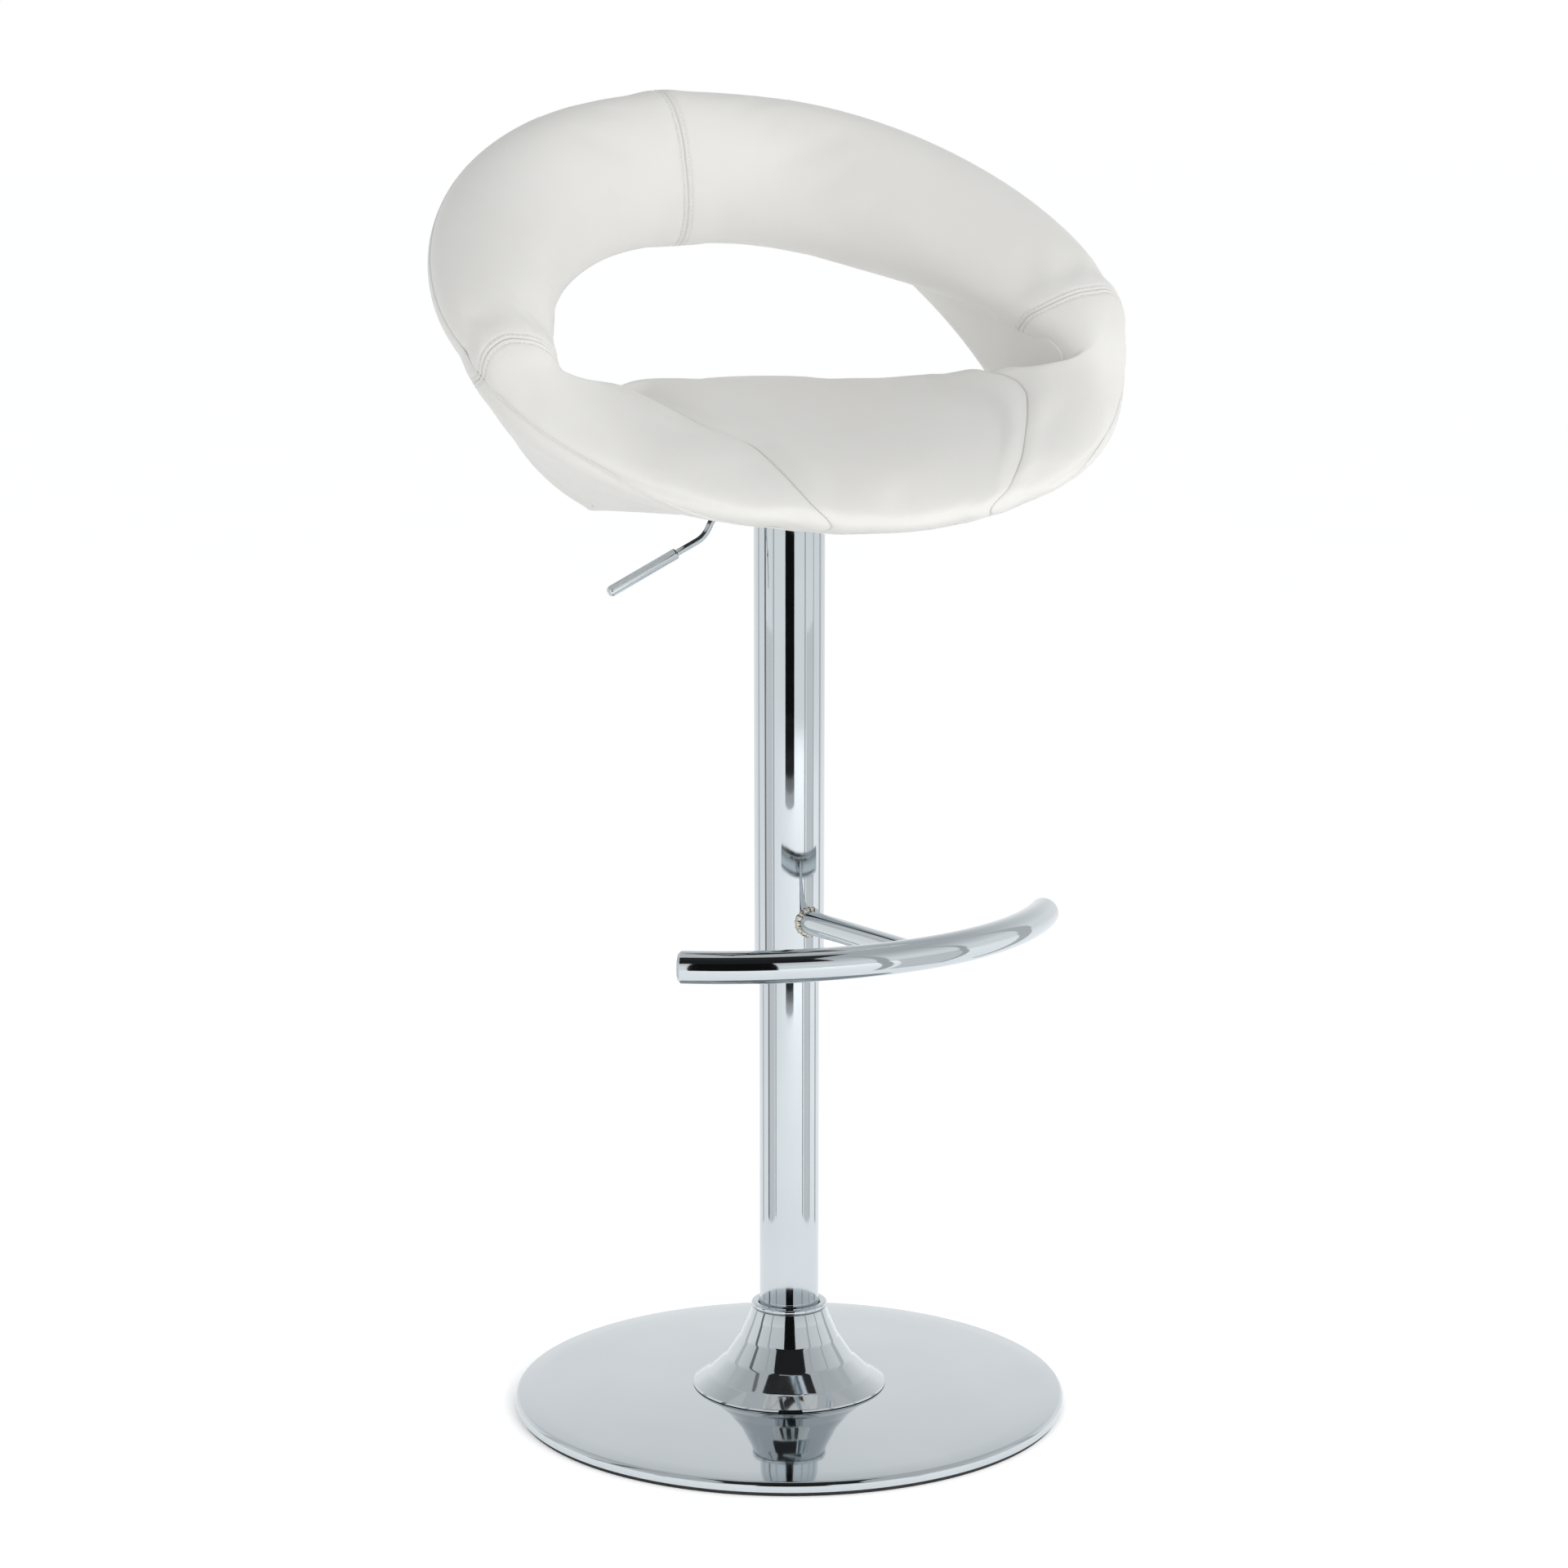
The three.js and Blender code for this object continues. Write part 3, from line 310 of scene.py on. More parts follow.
strut = tube_along("footrest_strut_tube", turn(np.stack([0 * yy_, yy_, 0 * yy_ + 405.5], 1)), 9.6, CHROME, "seat_carriage", 48)
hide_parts("footrest_strut")
def weld_ring(name, r_pipe, r_host, bead, host="sleeve"):
    """a rippled fillet round the strut where it meets the sleeve, or the bar"""
    N, M = 160, 10; V = []
    for i in range(N):
        a = i / N * TAU
        lump = 1 + 0.10 * math.sin(a * 17) + 0.07 * math.sin(a * 7 + 1) + 0.05 * math.sin(a * 31 + 2)
        for j in range(M):
            b = j / (M - 1) * math.pi / 2
            r = r_pipe - 0.3 + bead * lump * math.cos(b) ** 0.8
            x, z = math.cos(a) * r, math.sin(a) * r
            if host == "sleeve":
                y = -math.sqrt(max(r_host ** 2 - x * x, 1)) + 0.5 - bead * lump * 1.1 * math.sin(b) ** 0.9
            else:
                yc = bar_point(math.asin(max(-1, min(1, x / ARC_R))))[1]
                y = yc + math.sqrt(max(r_host ** 2 - z * z, 1)) - 0.5 + bead * lump * 0.9 * math.sin(b) ** 0.9
            V.append((x, y, z + 405.5))
    F = [[i * M + j, i * M + j + 1, ((i + 1) % N) * M + j + 1, ((i + 1) % N) * M + j] for i in range(N) for j in range(M - 1)]
    F += [[i * M + M - 1, i * M, ((i + 1) % N) * M, ((i + 1) % N) * M + M - 1] for i in range(N)]
    o = mesh_obj(name, turn(V), F, WELD, "seat_carriage"); fix_out(o)
    return o
w1 = weld_ring("strut_weld_bead", 9.6, 28.3, 3.0)
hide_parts("strut_weld")
weld_ring("bar_weld_bead", 9.6, 12.7, 1.6, "bar")

# ------------------------------------------------------------------ lever
LP = [(6, 0, 733), (-58, 0, 733), (-66.5, 0, 728.5), (-73.6, 0, 714.4), (-97.6, 0, 702.7)]
g_dir = np.array([-57.1, 0, -27.7]); g_dir /= np.linalg.norm(g_dir)
path = rounded_path(LP + [tuple(np.array(LP[-1]) + g_dir * 52)], 7.0)
rod = tube_along("lever_rod_wire", resample(path, 1.2), 2.7, CHROME, "height_lever", 28)
def hub(name, r, y0, y1):
    V, F = [], []; S = 48; prof = round_profile([(2.62, y0, .1), (r, y0, .5), (r, y1, .5), (2.62, y1, .1)], True, .3); m = len(prof)
    for i in range(S):
        a = i / S * TAU
        V += [(-22 + q[0] * math.cos(a), q[1], 733 + q[0] * math.sin(a)) for q in prof]
    F = [[i * m + j, i * m + (j + 1) % m, ((i + 1) % S) * m + (j + 1) % m, ((i + 1) % S) * m + j] for i in range(S) for j in range(m)]
    o = mesh_obj(name, V, F, CHROME, "height_lever"); fix_out(o); return o
hub("lever_hub", 5.0, -9, 9)
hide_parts("lever_rod")
gp = np.array(LP[-1], float)
prof = [(0.0, 2.9), (0.02, 3.6), (0.35, 4.15), (1.0, 4.5), (2.0, 4.5), (30.0, 4.5), (61.2, 4.5), (61.6, 4.45), (63.2, 3.35), (63.8, 2.8), (64.0, 1.6), (64.05, 0.2)]
grip = tube_along("lever_grip_sleeve", np.array([gp + g_dir * d for d, _ in prof]), [r for _, r in prof], CHROME, "height_lever", 48)
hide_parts("lever_grip")

# ------------------------------------------------------------------ the seat's surface (millimetres)
RG = dict(Wo=287.15, Do=186.14, yo=4.7, zo0=740.74, zo1=1060.65, ko=1.09, Wi=215.48, yi0=105.0, yi1=185.53, yib=-196.13, zi0=822.45, zi1=933.52, ki=2.0, bf=25.37, bs=33.8, bb=38.61, ex=2.16, Wb=205.42, Db=172.03, yb=31.95, zb=740.58, kb=1.83, exf=2.5)

def curves(t):
    s, c = np.sin(t), np.cos(t); u = (1 - c) / 2
    O = np.stack([RG["Wo"] * s, RG["yo"] - RG["Do"] * c, RG["zo0"] + (RG["zo1"] - RG["zo0"]) * u ** RG["ko"]], -1)
    I = np.stack([RG["Wi"] * s, RG["yi0"] + (RG["yi1"] - RG["yi0"]) * u + RG["yib"] * s * s, RG["zi0"] + (RG["zi1"] - RG["zi0"]) * u ** RG["ki"]], -1)
    M = (O + I) / 2
    k = (u ** RG["kb"])[..., None]
    B = np.stack([RG["Wb"] * s, RG["yb"] - RG["Db"] * c, np.full_like(s, RG["zb"])], -1) * (1 - k) + M * k
    b = RG["bf"] * np.maximum(0, 1 - 2 * u) + RG["bs"] * (1 - np.abs(2 * u - 1)) + RG["bb"] * np.maximum(0, 2 * u - 1)
    return O, I, M, B, b, u

def unit(v): return v / np.maximum(np.linalg.norm(v, axis=-1), 1e-9)[..., None]
def smooth(x, a, b): w = np.clip((x - a) / (b - a), 0, 1); return w * w * (3 - 2 * w)

def surface(t, phi):
    """point of the padded ring at angle t round the seat and phi round its section (0 outer edge, 90 top or front, 180 inner edge)"""
    O, I, M, B, b, u = curves(t)
    T = unit(curves(t + 1e-3)[2] - curves(t - 1e-3)[2])
    U = O - I; half = np.linalg.norm(U, axis=-1) / 2; U = unit(U)
    N = unit(np.cross(U, T))
    at = np.abs((t + math.pi) % TAU - math.pi)
    ex = RG["exf"] + (RG["ex"] - RG["exf"]) * np.minimum(1, u * 1.6)
    c, s = np.cos(phi), np.sin(phi)
    # the seat panel's rear edge is boxier than the roll
    inner = 3.3 - (3.3 - ex) * smooth(at, math.radians(38), math.radians(72))
    e = 2 / np.where(c < 0, ex + (inner - ex) * smooth(-c, 0.0, 0.5), ex)
    cu, sn = np.sign(c) * np.abs(c) ** e, np.sign(s) * np.abs(s) ** e
    return M + U * (half * cu)[..., None] + N * (b * sn)[..., None]

D2R = math.pi / 180
def curve_of_phi(pairs):
    """t as a smooth function of phi, from (phi, t) pairs in degrees; the underside runs straight back"""
    ph = np.array([p for p, _ in pairs], float); tt = np.array([q for _, q in pairs], float)
    ph = np.concatenate([[ph[-1] - 360], ph, [ph[0] + 360]]); tt = np.concatenate([[tt[-1]], tt, [tt[0]]])
    fine = np.arange(-400, 760, 1.0)
    base = np.interp((fine + 180) % 360 - 180, ph - 0.0, tt) if False else np.interp(np.mod(fine - ph[1], 360) + ph[1], ph, tt)
    ker = np.exp(-0.5 * (np.arange(-12, 13) / 5.0) ** 2); ker /= ker.sum()
    sm = np.convolve(base, ker, mode="same")
    return lambda phi: np.interp(np.degrees(np.mod(phi, TAU)), fine[20:-20], sm[20:-20]) * D2R

def locate(P, t_lo, t_hi):
    """(phi, t) in degrees of the surface points nearest to P"""
    tt = np.linspace(t_lo * D2R, t_hi * D2R, 260); pp = np.linspace(-20 * D2R, 200 * D2R, 300)
    A, Bq = np.meshgrid(tt, pp, indexing="ij"); S = surface(A, Bq)
    out = []
    for p in np.asarray(P, float):
        k = np.argmin(((S - p) ** 2).sum(-1)); i, j = np.unravel_index(k, A.shape)
        out.append((pp[j] / D2R, tt[i] / D2R))
    return out

SEAM_L = [(86, -173, 746), (104, -166, 758), (117, -153, 769), (130, -140, 780), (144, -119, 794), (158, -99, 807), (167, -82, 818), (174, -68, 827), (176, -55, 832)]
SEAM_R = [(-48, -176, 738), (-61, -175, 751), (-69, -158, 765), (-72, -139, 776), (-75, -118, 785), (-76, -93, 794), (-86, -76, 801), (-104, -66, 808)]
locL = sorted(locate(SEAM_L, 5, 70)) + [(150, 52), (170, 58), (185, 59), (210, 54), (270, 32), (330, 19)]
locR = sorted(locate(SEAM_R, -60, -2)) + [(128, -36), (150, -48), (170, -57), (185, -59), (210, -52), (270, -28), (330, -10)]
def monotone(pairs):
    out = [pairs[0]]
    for p in pairs[1:]:
        if p[0] > out[-1][0] + 1.0: out.append(p)
    return out
pad_left, pad_right = curve_of_phi(monotone(locL)), curve_of_phi(monotone(locR))
arm_left = curve_of_phi([(0, 83), (50, 87), (90, 93), (130, 102), (165, 110), (190, 112), (240, 102), (300, 88)])
arm_right = curve_of_phi([(0, -74), (60, -79), (120, -86), (180, -90), (240, -86), (300, -77)])
back_seam = curve_of_phi([(0, 186), (90, 186), (180, 184), (270, 185)])
back_seam_neg = lambda phi: back_seam(phi) - TAU

def grid(t0, t1, rows, phis):
    ph = np.broadcast_to(phis[None, :], (len(rows), len(phis)))
    a, b = t0(phis)[None, :], t1(phis)[None, :]
    t = a + (b - a) * rows[:, None]
    return t, ph

def lengths(P):
    d = np.linalg.norm(np.diff(P, axis=0), axis=-1)
    return np.concatenate([np.zeros((1, P.shape[1])), np.cumsum(d, 0)], 0)

def normals(P):
    """outward normals of a grid that is closed in its second direction"""
    dt = np.gradient(P, axis=0)
    Q = np.concatenate([P[:, -1:], P, P[:, :1]], 1)
    dp = (Q[:, 2:] - Q[:, :-2]) / 2
    n = unit(np.cross(dt, dp))
    C = P.mean(1, keepdims=True)
    if ((P - C) * n).sum() < 0: n = -n
    return n

def valley(P, t0d, t1d, kind, ph, right=False):
    """the roll stands a little over the seat panel, with a dip between them that deepens to the rear"""
    back_w = smooth(np.degrees(ph), 70, 150) * (1 - smooth(np.degrees(ph), 200, 250))
    z = np.zeros(P.shape[:2])
    if kind == "pad":
        z -= 17.0 * back_w * np.exp(-(t0d / 34.0) ** 2) + 3.5 * back_w * np.exp(-(t1d / 9.0) ** 2)
    elif kind == "arm":
        top = smooth(np.degrees(ph), 40, 90) * (1 - smooth(np.degrees(ph), 120, 165))
        if right:
            z += -17.0 * back_w * np.exp(-(t0d / 38.0) ** 2) + 3.0 * top * np.exp(-((t0d - 30.0) / 22.0) ** 2)
        else:
            z += -3.5 * back_w * np.exp(-(t0d / 12.0) ** 2)
    P[..., 2] += z
    return P

def build_rows(L, fine=True):
    if not fine:
        return np.linspace(0, 1, max(8, int(L / 7.0)))
    edge = np.array([0, 0.5, 1.0, 1.6, 2.3, 3.1, 4.0, 5.0, 6.3, 8.0, 10.2])
    mid = np.linspace(13.0, L - 13.0, max(6, int((L - 26) / 3.2)))
    return np.concatenate([edge, mid, L - edge[::-1]]) / L

def cloth_push(name, P, cap):
    """inflates a coarse copy of the piece with Blender's cloth solver, its sewn ends held, and returns how far each point moved"""
    n, m = P.shape[:2]
    V = P.reshape(-1, 3) * MM
    C0, C1 = P[0].mean(0) * MM, P[-1].mean(0) * MM
    V = np.concatenate([V, [C0, C1]])
    F = [[i * m + j, i * m + (j + 1) % m, (i + 1) * m + (j + 1) % m, (i + 1) * m + j] for i in range(n - 1) for j in range(m)]
    F += [[n * m, (j + 1) % m, j] for j in range(m)] + [[n * m + 1, (n - 1) * m + j, (n - 1) * m + (j + 1) % m] for j in range(m)]
    me = bpy.data.meshes.new("sim_" + name); me.from_pydata(V.tolist(), [], F)
    o = bpy.data.objects.new("sim_" + name, me); scene.collection.objects.link(o)
    fix_out(o)
    g = o.vertex_groups.new(name="sewn")
    idx = [i for i in range(m)] + [(n - 1) * m + j for j in range(m)] + [n * m, n * m + 1]
    g.add(idx, 1.0, "REPLACE")
    near = [m + j for j in range(m)] + [(n - 2) * m + j for j in range(m)]
    g.add(near, 0.25, "REPLACE")
    md = o.modifiers.new("cloth", "CLOTH"); st = md.settings
    st.quality = 5; st.mass = 0.35
    st.tension_stiffness = 40; st.compression_stiffness = 40; st.shear_stiffness = 20; st.bending_stiffness = 3.0
    st.tension_damping = 15; st.compression_damping = 15; st.air_damping = 4
    st.vertex_group_mass = "sewn"; st.pin_stiffness = 1.0
    st.use_pressure = True; st.uniform_pressure_force = 4.0
    st.shrink_min = -0.012
    st.effector_weights.gravity = 0
    md.collision_settings.use_collision = False
    md.point_cache.frame_start, md.point_cache.frame_end = 1, 20
    for f in range(1, 21):
        scene.frame_set(f)
    dg = bpy.context.evaluated_depsgraph_get()
    ev = o.evaluated_get(dg)
    co = np.zeros(len(V) * 3, np.float32); ev.data.vertices.foreach_get("co", co)
    D = (co.reshape(-1, 3)[: n * m] / MM - P.reshape(-1, 3)).reshape(n, m, 3)
    scene.frame_set(1)
    bpy.data.objects.remove(o); bpy.data.meshes.remove(me)
    L = np.linalg.norm(D, axis=-1, keepdims=True)
    return D * np.minimum(1, cap / np.maximum(L, 1e-6))

PHI_FINE, PHI_SIM = np.arange(112) / 112 * TAU, np.arange(50) / 50 * TAU
GRIDS = {}
def seam_profile(kind, d):
    if kind == "felled":  # folded seam with a topstitched band each side
        return -0.55 * np.exp(-(d / 0.8) ** 2) + 0.35 * np.exp(-((d - 2.0) / 1.2) ** 2) - 0.85 * np.exp(-((d - 3.9) / 0.8) ** 2) - 0.3 * np.exp(-(d / 9.0) ** 2)
    return -0.95 * np.exp(-d / 1.0) - 0.8 * np.exp(-(d / 8.0) ** 2)

def roll_piece(name, t0, t1, kind, seam0, seam1, node, cap=5.0):
    probe = surface(*grid(t0, t1, np.linspace(0, 1, 30), np.array([90 * D2R]))); L = float(lengths(probe)[-1, 0])
    rows = build_rows(L)
    t, ph = grid(t0, t1, rows, PHI_FINE); P = surface(t, ph)
    l = lengths(P); d0, d1 = l, l[-1:] - l
    right_side = name.endswith("right")
    P = valley(P, d0, d1, kind, ph, right_side)
    # puffing: from the cloth solver
    rs = build_rows(L, False)
    ts, ps = grid(t0, t1, rs, PHI_SIM); Q = surface(ts, ps); lq = lengths(Q)
    Q = valley(Q, lq, lq[-1:] - lq, kind, ps, right_side)
    slack = lambda a, b_: 1.8 * smooth(np.minimum(a, b_), 4.0, 34.0)[..., None]
    Q = Q - normals(Q) * slack(lq, lq[-1:] - lq)   # the cover starts slack and swells to size
    D = cloth_push(name, Q, cap)
    # keep the swelling, soften the small buckles
    nq = normals(Q); h = (D * nq).sum(-1); side = D - nq * h[..., None]
    def soft(a):
        for _ in range(10):
            r = np.concatenate([a[:1], a, a[-1:]], 0); a = (r[:-2] + 2 * r[1:-1] + r[2:]) / 4
            a = (np.roll(a, 1, 1) + 2 * a + np.roll(a, -1, 1)) / 4
        return a
    low = soft(h); end_w = smooth(np.minimum(lq, lq[-1:] - lq), 0.0, 22.0)
    D = nq * ((0.72 * low + 0.28 * h) * end_w)[..., None] + side * 0.25
    # carry the movement over to the fine mesh
    Dp = np.concatenate([D, D[:, :1]], 1); pcol = np.linspace(0, TAU, len(PHI_SIM) + 1)
    Dr = np.stack([[np.interp(rows, rs, Dp[:, j, k]) for j in range(Dp.shape[1])] for k in range(3)], -1)  # cols, rows, 3
    Df = np.stack([[np.interp(PHI_FINE, pcol, Dr[:, i, k]) for i in range(len(rows))] for k in range(3)], -1)
    nrm = normals(P)
    P = P - nrm * slack(d0, d1) + Df
    fall0, fall1 = np.exp(-(d0 / 10.0) ** 2), np.exp(-(d1 / 10.0) ** 2)
    nrm = normals(P)
    prof = seam_profile(seam0, d0) + seam_profile(seam1, d1)
    # welt line along the outer edge
    Pc = np.concatenate([P, P[:, :1]], 1); dl = np.linalg.norm(np.diff(Pc, axis=1), axis=-1)
    cum = np.concatenate([np.zeros((len(rows), 1)), np.cumsum(dl, 1)], 1); e = np.minimum(cum[:, :-1], cum[:, -1:] - cum[:, :-1])
    front = smooth(np.abs((np.degrees(t[:, :1]) + 180) % 360 - 180), 20.0, 48.0)
    prof = prof - 0.9 * np.exp(-(e / 2.2)) * front
    # soft gathers that run off the sewn ends
    k = np.sin(PHI_FINE * 23 + 1.7)[None, :] * 0.5 + np.sin(PHI_FINE * 37 + 0.4)[None, :] * 0.3
    prof = prof + 0.22 * k * (np.exp(-((d0 - 9) / 7.0) ** 2) + np.exp(-((d1 - 9) / 7.0) ** 2))
    P = P + nrm * prof[..., None]
    # painted shade mask: darkest in the seam grooves, along the welt line at the front and in the dip beside each
    # felled seam's topstitching
    painted_groove_shade = np.clip(np.exp(-d0 / 0.9) + np.exp(-d1 / 0.9) + 0.4 * front * np.exp(-e / 1.2), 0, 1) * 0.55
    for d, kind_ in ((d0, seam0), (d1, seam1)):
        if kind_ == "felled":
            painted_groove_shade = painted_groove_shade - 0.22 * np.exp(-d / 0.9) + 0.30 * np.exp(-((d - 3.9) / 0.7) ** 2)
    painted_groove_shade = np.clip(painted_groove_shade, 0, 1)
    GRIDS[name] = (P, normals(P), d0, d1, t[:, 0] / D2R)
    # closed form: each end turns in and is capped inside the seam
    def inset(ring, amount):
        c = ring.mean(0); v = ring - c; r = np.linalg.norm(v, axis=-1, keepdims=True)
        return c + v * np.maximum(0, 1 - amount / np.maximum(r, 1))
    rings = [inset(P[0], 9), inset(P[0], 1.2)] + list(P) + [inset(P[-1], 1.2), inset(P[-1], 9)]
    m = len(PHI_FINE); R = np.stack(rings); n = len(R)
    V = np.concatenate([R.reshape(-1, 3), [R[0].mean(0)], [R[-1].mean(0)]])
    F = [[i * m + j, i * m + (j + 1) % m, (i + 1) * m + (j + 1) % m, (i + 1) * m + j] for i in range(n - 1) for j in range(m)]
    F += [[n * m, (j + 1) % m, j] for j in range(m)] + [[n * m + 1, (n - 1) * m + j, (n - 1) * m + (j + 1) % m] for j in range(m)]
    o = mesh_obj(name, V, F, LEATHER, "seat_carriage"); 
    # the turned-in ends inside the seams get strong painted shade
    g = np.zeros(len(V), np.float32); g[2 * m:(n - 2) * m] = painted_groove_shade.reshape(-1); g[: 2 * m] = 0.8; g[(n - 2) * m:] = 0.8
    at = o.data.attributes.new("painted_groove_shade", "FLOAT", "POINT"); at.data.foreach_set("value", g)
    fix_out(o)
    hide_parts(node)
    return o

roll_piece("seat_panel", pad_right, pad_left, "pad", "plain", "plain", "seat_panel_cushion", 6.0)
roll_piece("arm_cover_left", pad_left, arm_left, "arm", "plain", "felled", "arm_roll_left")
ar = roll_piece("arm_cover_right", lambda p: pad_right(p), lambda p: arm_right(p), "arm", "plain", "felled", "arm_roll_right")
roll_piece("back_cover_left", arm_left, back_seam, "back", "felled", "felled", "back_roll_left")
roll_piece("back_cover_right", arm_right, back_seam_neg, "back", "felled", "felled", "back_roll_right")

# ------------------------------------------------------------------ lower shell: flank, rear wall and underside
def shell():
    LIM = 165 * D2R
    ts = np.linspace(-LIM, LIM, 260)
    O, I, M, B, b, u = curves(ts)
    k = smooth(np.abs(ts) / D2R, 78, 118)[:, None]
    lim = 183 + 42 * smooth(np.abs(ts) / D2R, 88, 104)
    low = np.stack([np.clip(I[:, 0], -lim, lim), I[:, 1], np.full(len(ts), RG["zb"])], -1)
    inner = low * (1 - k) + (B * 0.88 + I * 0.12) * k
    f0 = (0.015 + 0.075 * smooth(np.abs(ts) / D2R, 112, 138))[:, None]
    P0, P1 = I * (1 - f0) + O * f0, O * 0.965 + I * 0.035
    T_ = unit(curves(ts + 1e-3)[2] - curves(ts - 1e-3)[2]); N_ = unit(np.cross(unit(O - I), T_))
    rows = []
    for i in range(len(ts)):
        q = [P0[i], P1[i], B[i], inner[i]]
        sec = []
        for j in range(4):
            a, p, c = q[j - 1], q[j], q[(j + 1) % 4]
            r = (1.0, 2.0, 34.0, 14.0)[j]
            la, lc = max(np.linalg.norm(a - p), 1e-6), max(np.linalg.norm(c - p), 1e-6)
            tt = min(r, 0.46 * la, 0.46 * lc)
            p0, p1 = p + (a - p) / la * tt, p + (c - p) / lc * tt
            sec += [(1 - w) ** 2 * p0 + 2 * w * (1 - w) * p + w * w * p1 for w in np.linspace(0, 1, 7)]
            # the straight run to the next corner
            p2, r2 = c, (1.0, 2.0, 34.0, 14.0)[(j + 1) % 4]
            lc2 = max(np.linalg.norm(q[(j + 2) % 4] - c), 1e-6)
            t2 = min(r2, 0.46 * lc, 0.46 * lc2); e = c + (p - c) / lc * t2
            nseg = 16
            for w in np.linspace(0, 1, nseg + 1)[1:-1]:
                pt = p1 * (1 - w) + e * w
                if j == 3:   # inner wall: bowed so that it carries on the roll's own face
                    h = p1 * (1 - w) ** 2 + (e - N_[i] * 0.5 * np.linalg.norm(e - p1)) * 2 * w * (1 - w) + e * w * w
                    wt = float(smooth(np.array(abs(ts[i]) / D2R), 60, 95)); pt = pt * (1 - wt) + h * wt
                sec.append(pt)
        rows.append(sec)
    S = np.array(rows); n, m = S.shape[:2]
    # rounds the lower corner where the front bottom runs into the rear wall
    G = S.copy()
    for _ in range(70):
        G[1:-1] = (G[:-2] + 2 * G[1:-1] + G[2:]) / 4
    at_ = np.abs(ts) / D2R; col = np.zeros(m); col[30:86] = np.sin(np.linspace(0, math.pi, 56)) ** 0.5
    bw = (smooth(at_, 55, 75) * (1 - smooth(at_, 132, 150)))[:, None] * col[None, :]
    S = S * (1 - bw[..., None]) + G * bw[..., None]
    nr = normals(S)
    # stretched cover: the flank swells a little between the welt and the lower edge
    idx = np.arange(m); flank = (idx >= 29) & (idx <= 44)
    w = np.zeros(m); w[29:45] = np.sin(np.linspace(0, math.pi, 16)) ** 0.8
    rear = np.zeros(m); rear[75:91] = np.sin(np.linspace(0, math.pi, len(rear[75:91]))) 
    amp = 4.5 * smooth(np.linalg.norm(P1 - B, axis=-1), 10, 60)[:, None]
    S = S + nr * (amp * w[None, :] + 2.0 * rear[None, :] * (1 - k))[..., None]
    # recess for the bracket under the seat board
    x, y, z = S[..., 0], S[..., 1], S[..., 2]
    inside = (np.abs(x) < 96) & (y > -100) & (y < 90) & (z < 743)
    S[..., 2] = np.where(inside, 747.0, z)
    V = np.concatenate([S.reshape(-1, 3), [S[0].mean(0)], [S[-1].mean(0)]])
    F = [[i * m + j, i * m + (j + 1) % m, (i + 1) * m + (j + 1) % m, (i + 1) * m + j] for i in range(n - 1) for j in range(m)]
    F += [[n * m, (j + 1) % m, j] for j in range(m)] + [[n * m + 1, (n - 1) * m + j, (n - 1) * m + (j + 1) % m] for j in range(m)]
    o = mesh_obj("seat_shell_cover", V, F, LEATHER, "seat_carriage")
    at = o.data.attributes.new("painted_groove_shade", "FLOAT", "POINT"); at.data.foreach_set("value", np.zeros(len(V), np.float32))
    fix_out(o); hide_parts("seat_lower_shell")
shell()
# welt along the edge between roll and flank, lying on the covers themselves
def edge_line():
    out = []
    for name, back in (("back_cover_right", True), ("arm_cover_right", True), ("seat_panel", False), ("arm_cover_left", False), ("back_cover_left", False)):
        P, N, _, _, tr = GRIDS[name]; m = P.shape[1]
        # across the front the welt runs lower, under the nose of the panel
        f = m - 34.0 / 360 * m * (1 - smooth(np.abs(tr), 14.0, 52.0)); k = np.minimum(f.astype(int), m); w = (f - k)[:, None]; i = np.arange(len(P))
        q = P[i, k % m] * (1 - w) + P[i, (k + 1) % m] * w + N[i, k % m] * 0.25
        out.append(q[::-1] if back else q)
    L = resample(np.concatenate(out), 3.0)
    for _ in range(12):
        L[1:-1] = (L[:-2] + 2 * L[1:-1] + L[2:]) / 4
    cut = int(len(L) * 0.07)
    return L[cut:-cut]
tube_along("edge_welt", edge_line(), 0.8, WELT, "seat_carriage", 10)

# ------------------------------------------------------------------ stitching
def stitch_rows(name, lines, r=0.36, length=2.6, pitch=3.7):
    V, F = [], []
    prof = [(-0.5, 0.15), (-0.42, 0.75), (-0.2, 1.0), (0.2, 1.0), (0.42, 0.75), (0.5, 0.15)]
    for P, N in lines:
        d = np.concatenate([[0], np.cumsum(np.linalg.norm(np.diff(P, axis=0), axis=1))])
        for s in np.arange(pitch / 2, d[-1] - pitch / 2, pitch):
            p = np.array([np.interp(s, d, P[:, k]) for k in range(3)]); q = np.array([np.interp(s + 0.8, d, P[:, k]) for k in range(3)])
            nn = unit(np.array([np.interp(s, d, N[:, k]) for k in range(3)]))
            tx = unit(q - p); by = np.cross(nn, tx); base = len(V)
            for a, rr in prof:
                sink = 0.10 - 0.45 * (abs(a) * 2) ** 3
                for h in range(6):
                    g = h / 6 * TAU
                    V.append(p + tx * a * length + nn * (sink + r * rr * math.sin(g)) + by * (r * 1.15 * rr * math.cos(g)))
            for i in range(len(prof) - 1):
                for h in range(6):
                    F.append([base + i * 6 + h, base + i * 6 + (h + 1) % 6, base + (i + 1) * 6 + (h + 1) % 6, base + (i + 1) * 6 + h])
            F += [[base + h for h in range(5, -1, -1)], [base + (len(prof) - 1) * 6 + h for h in range(6)]]
    return mesh_obj(name, V, F, THREAD, "seat_carriage")

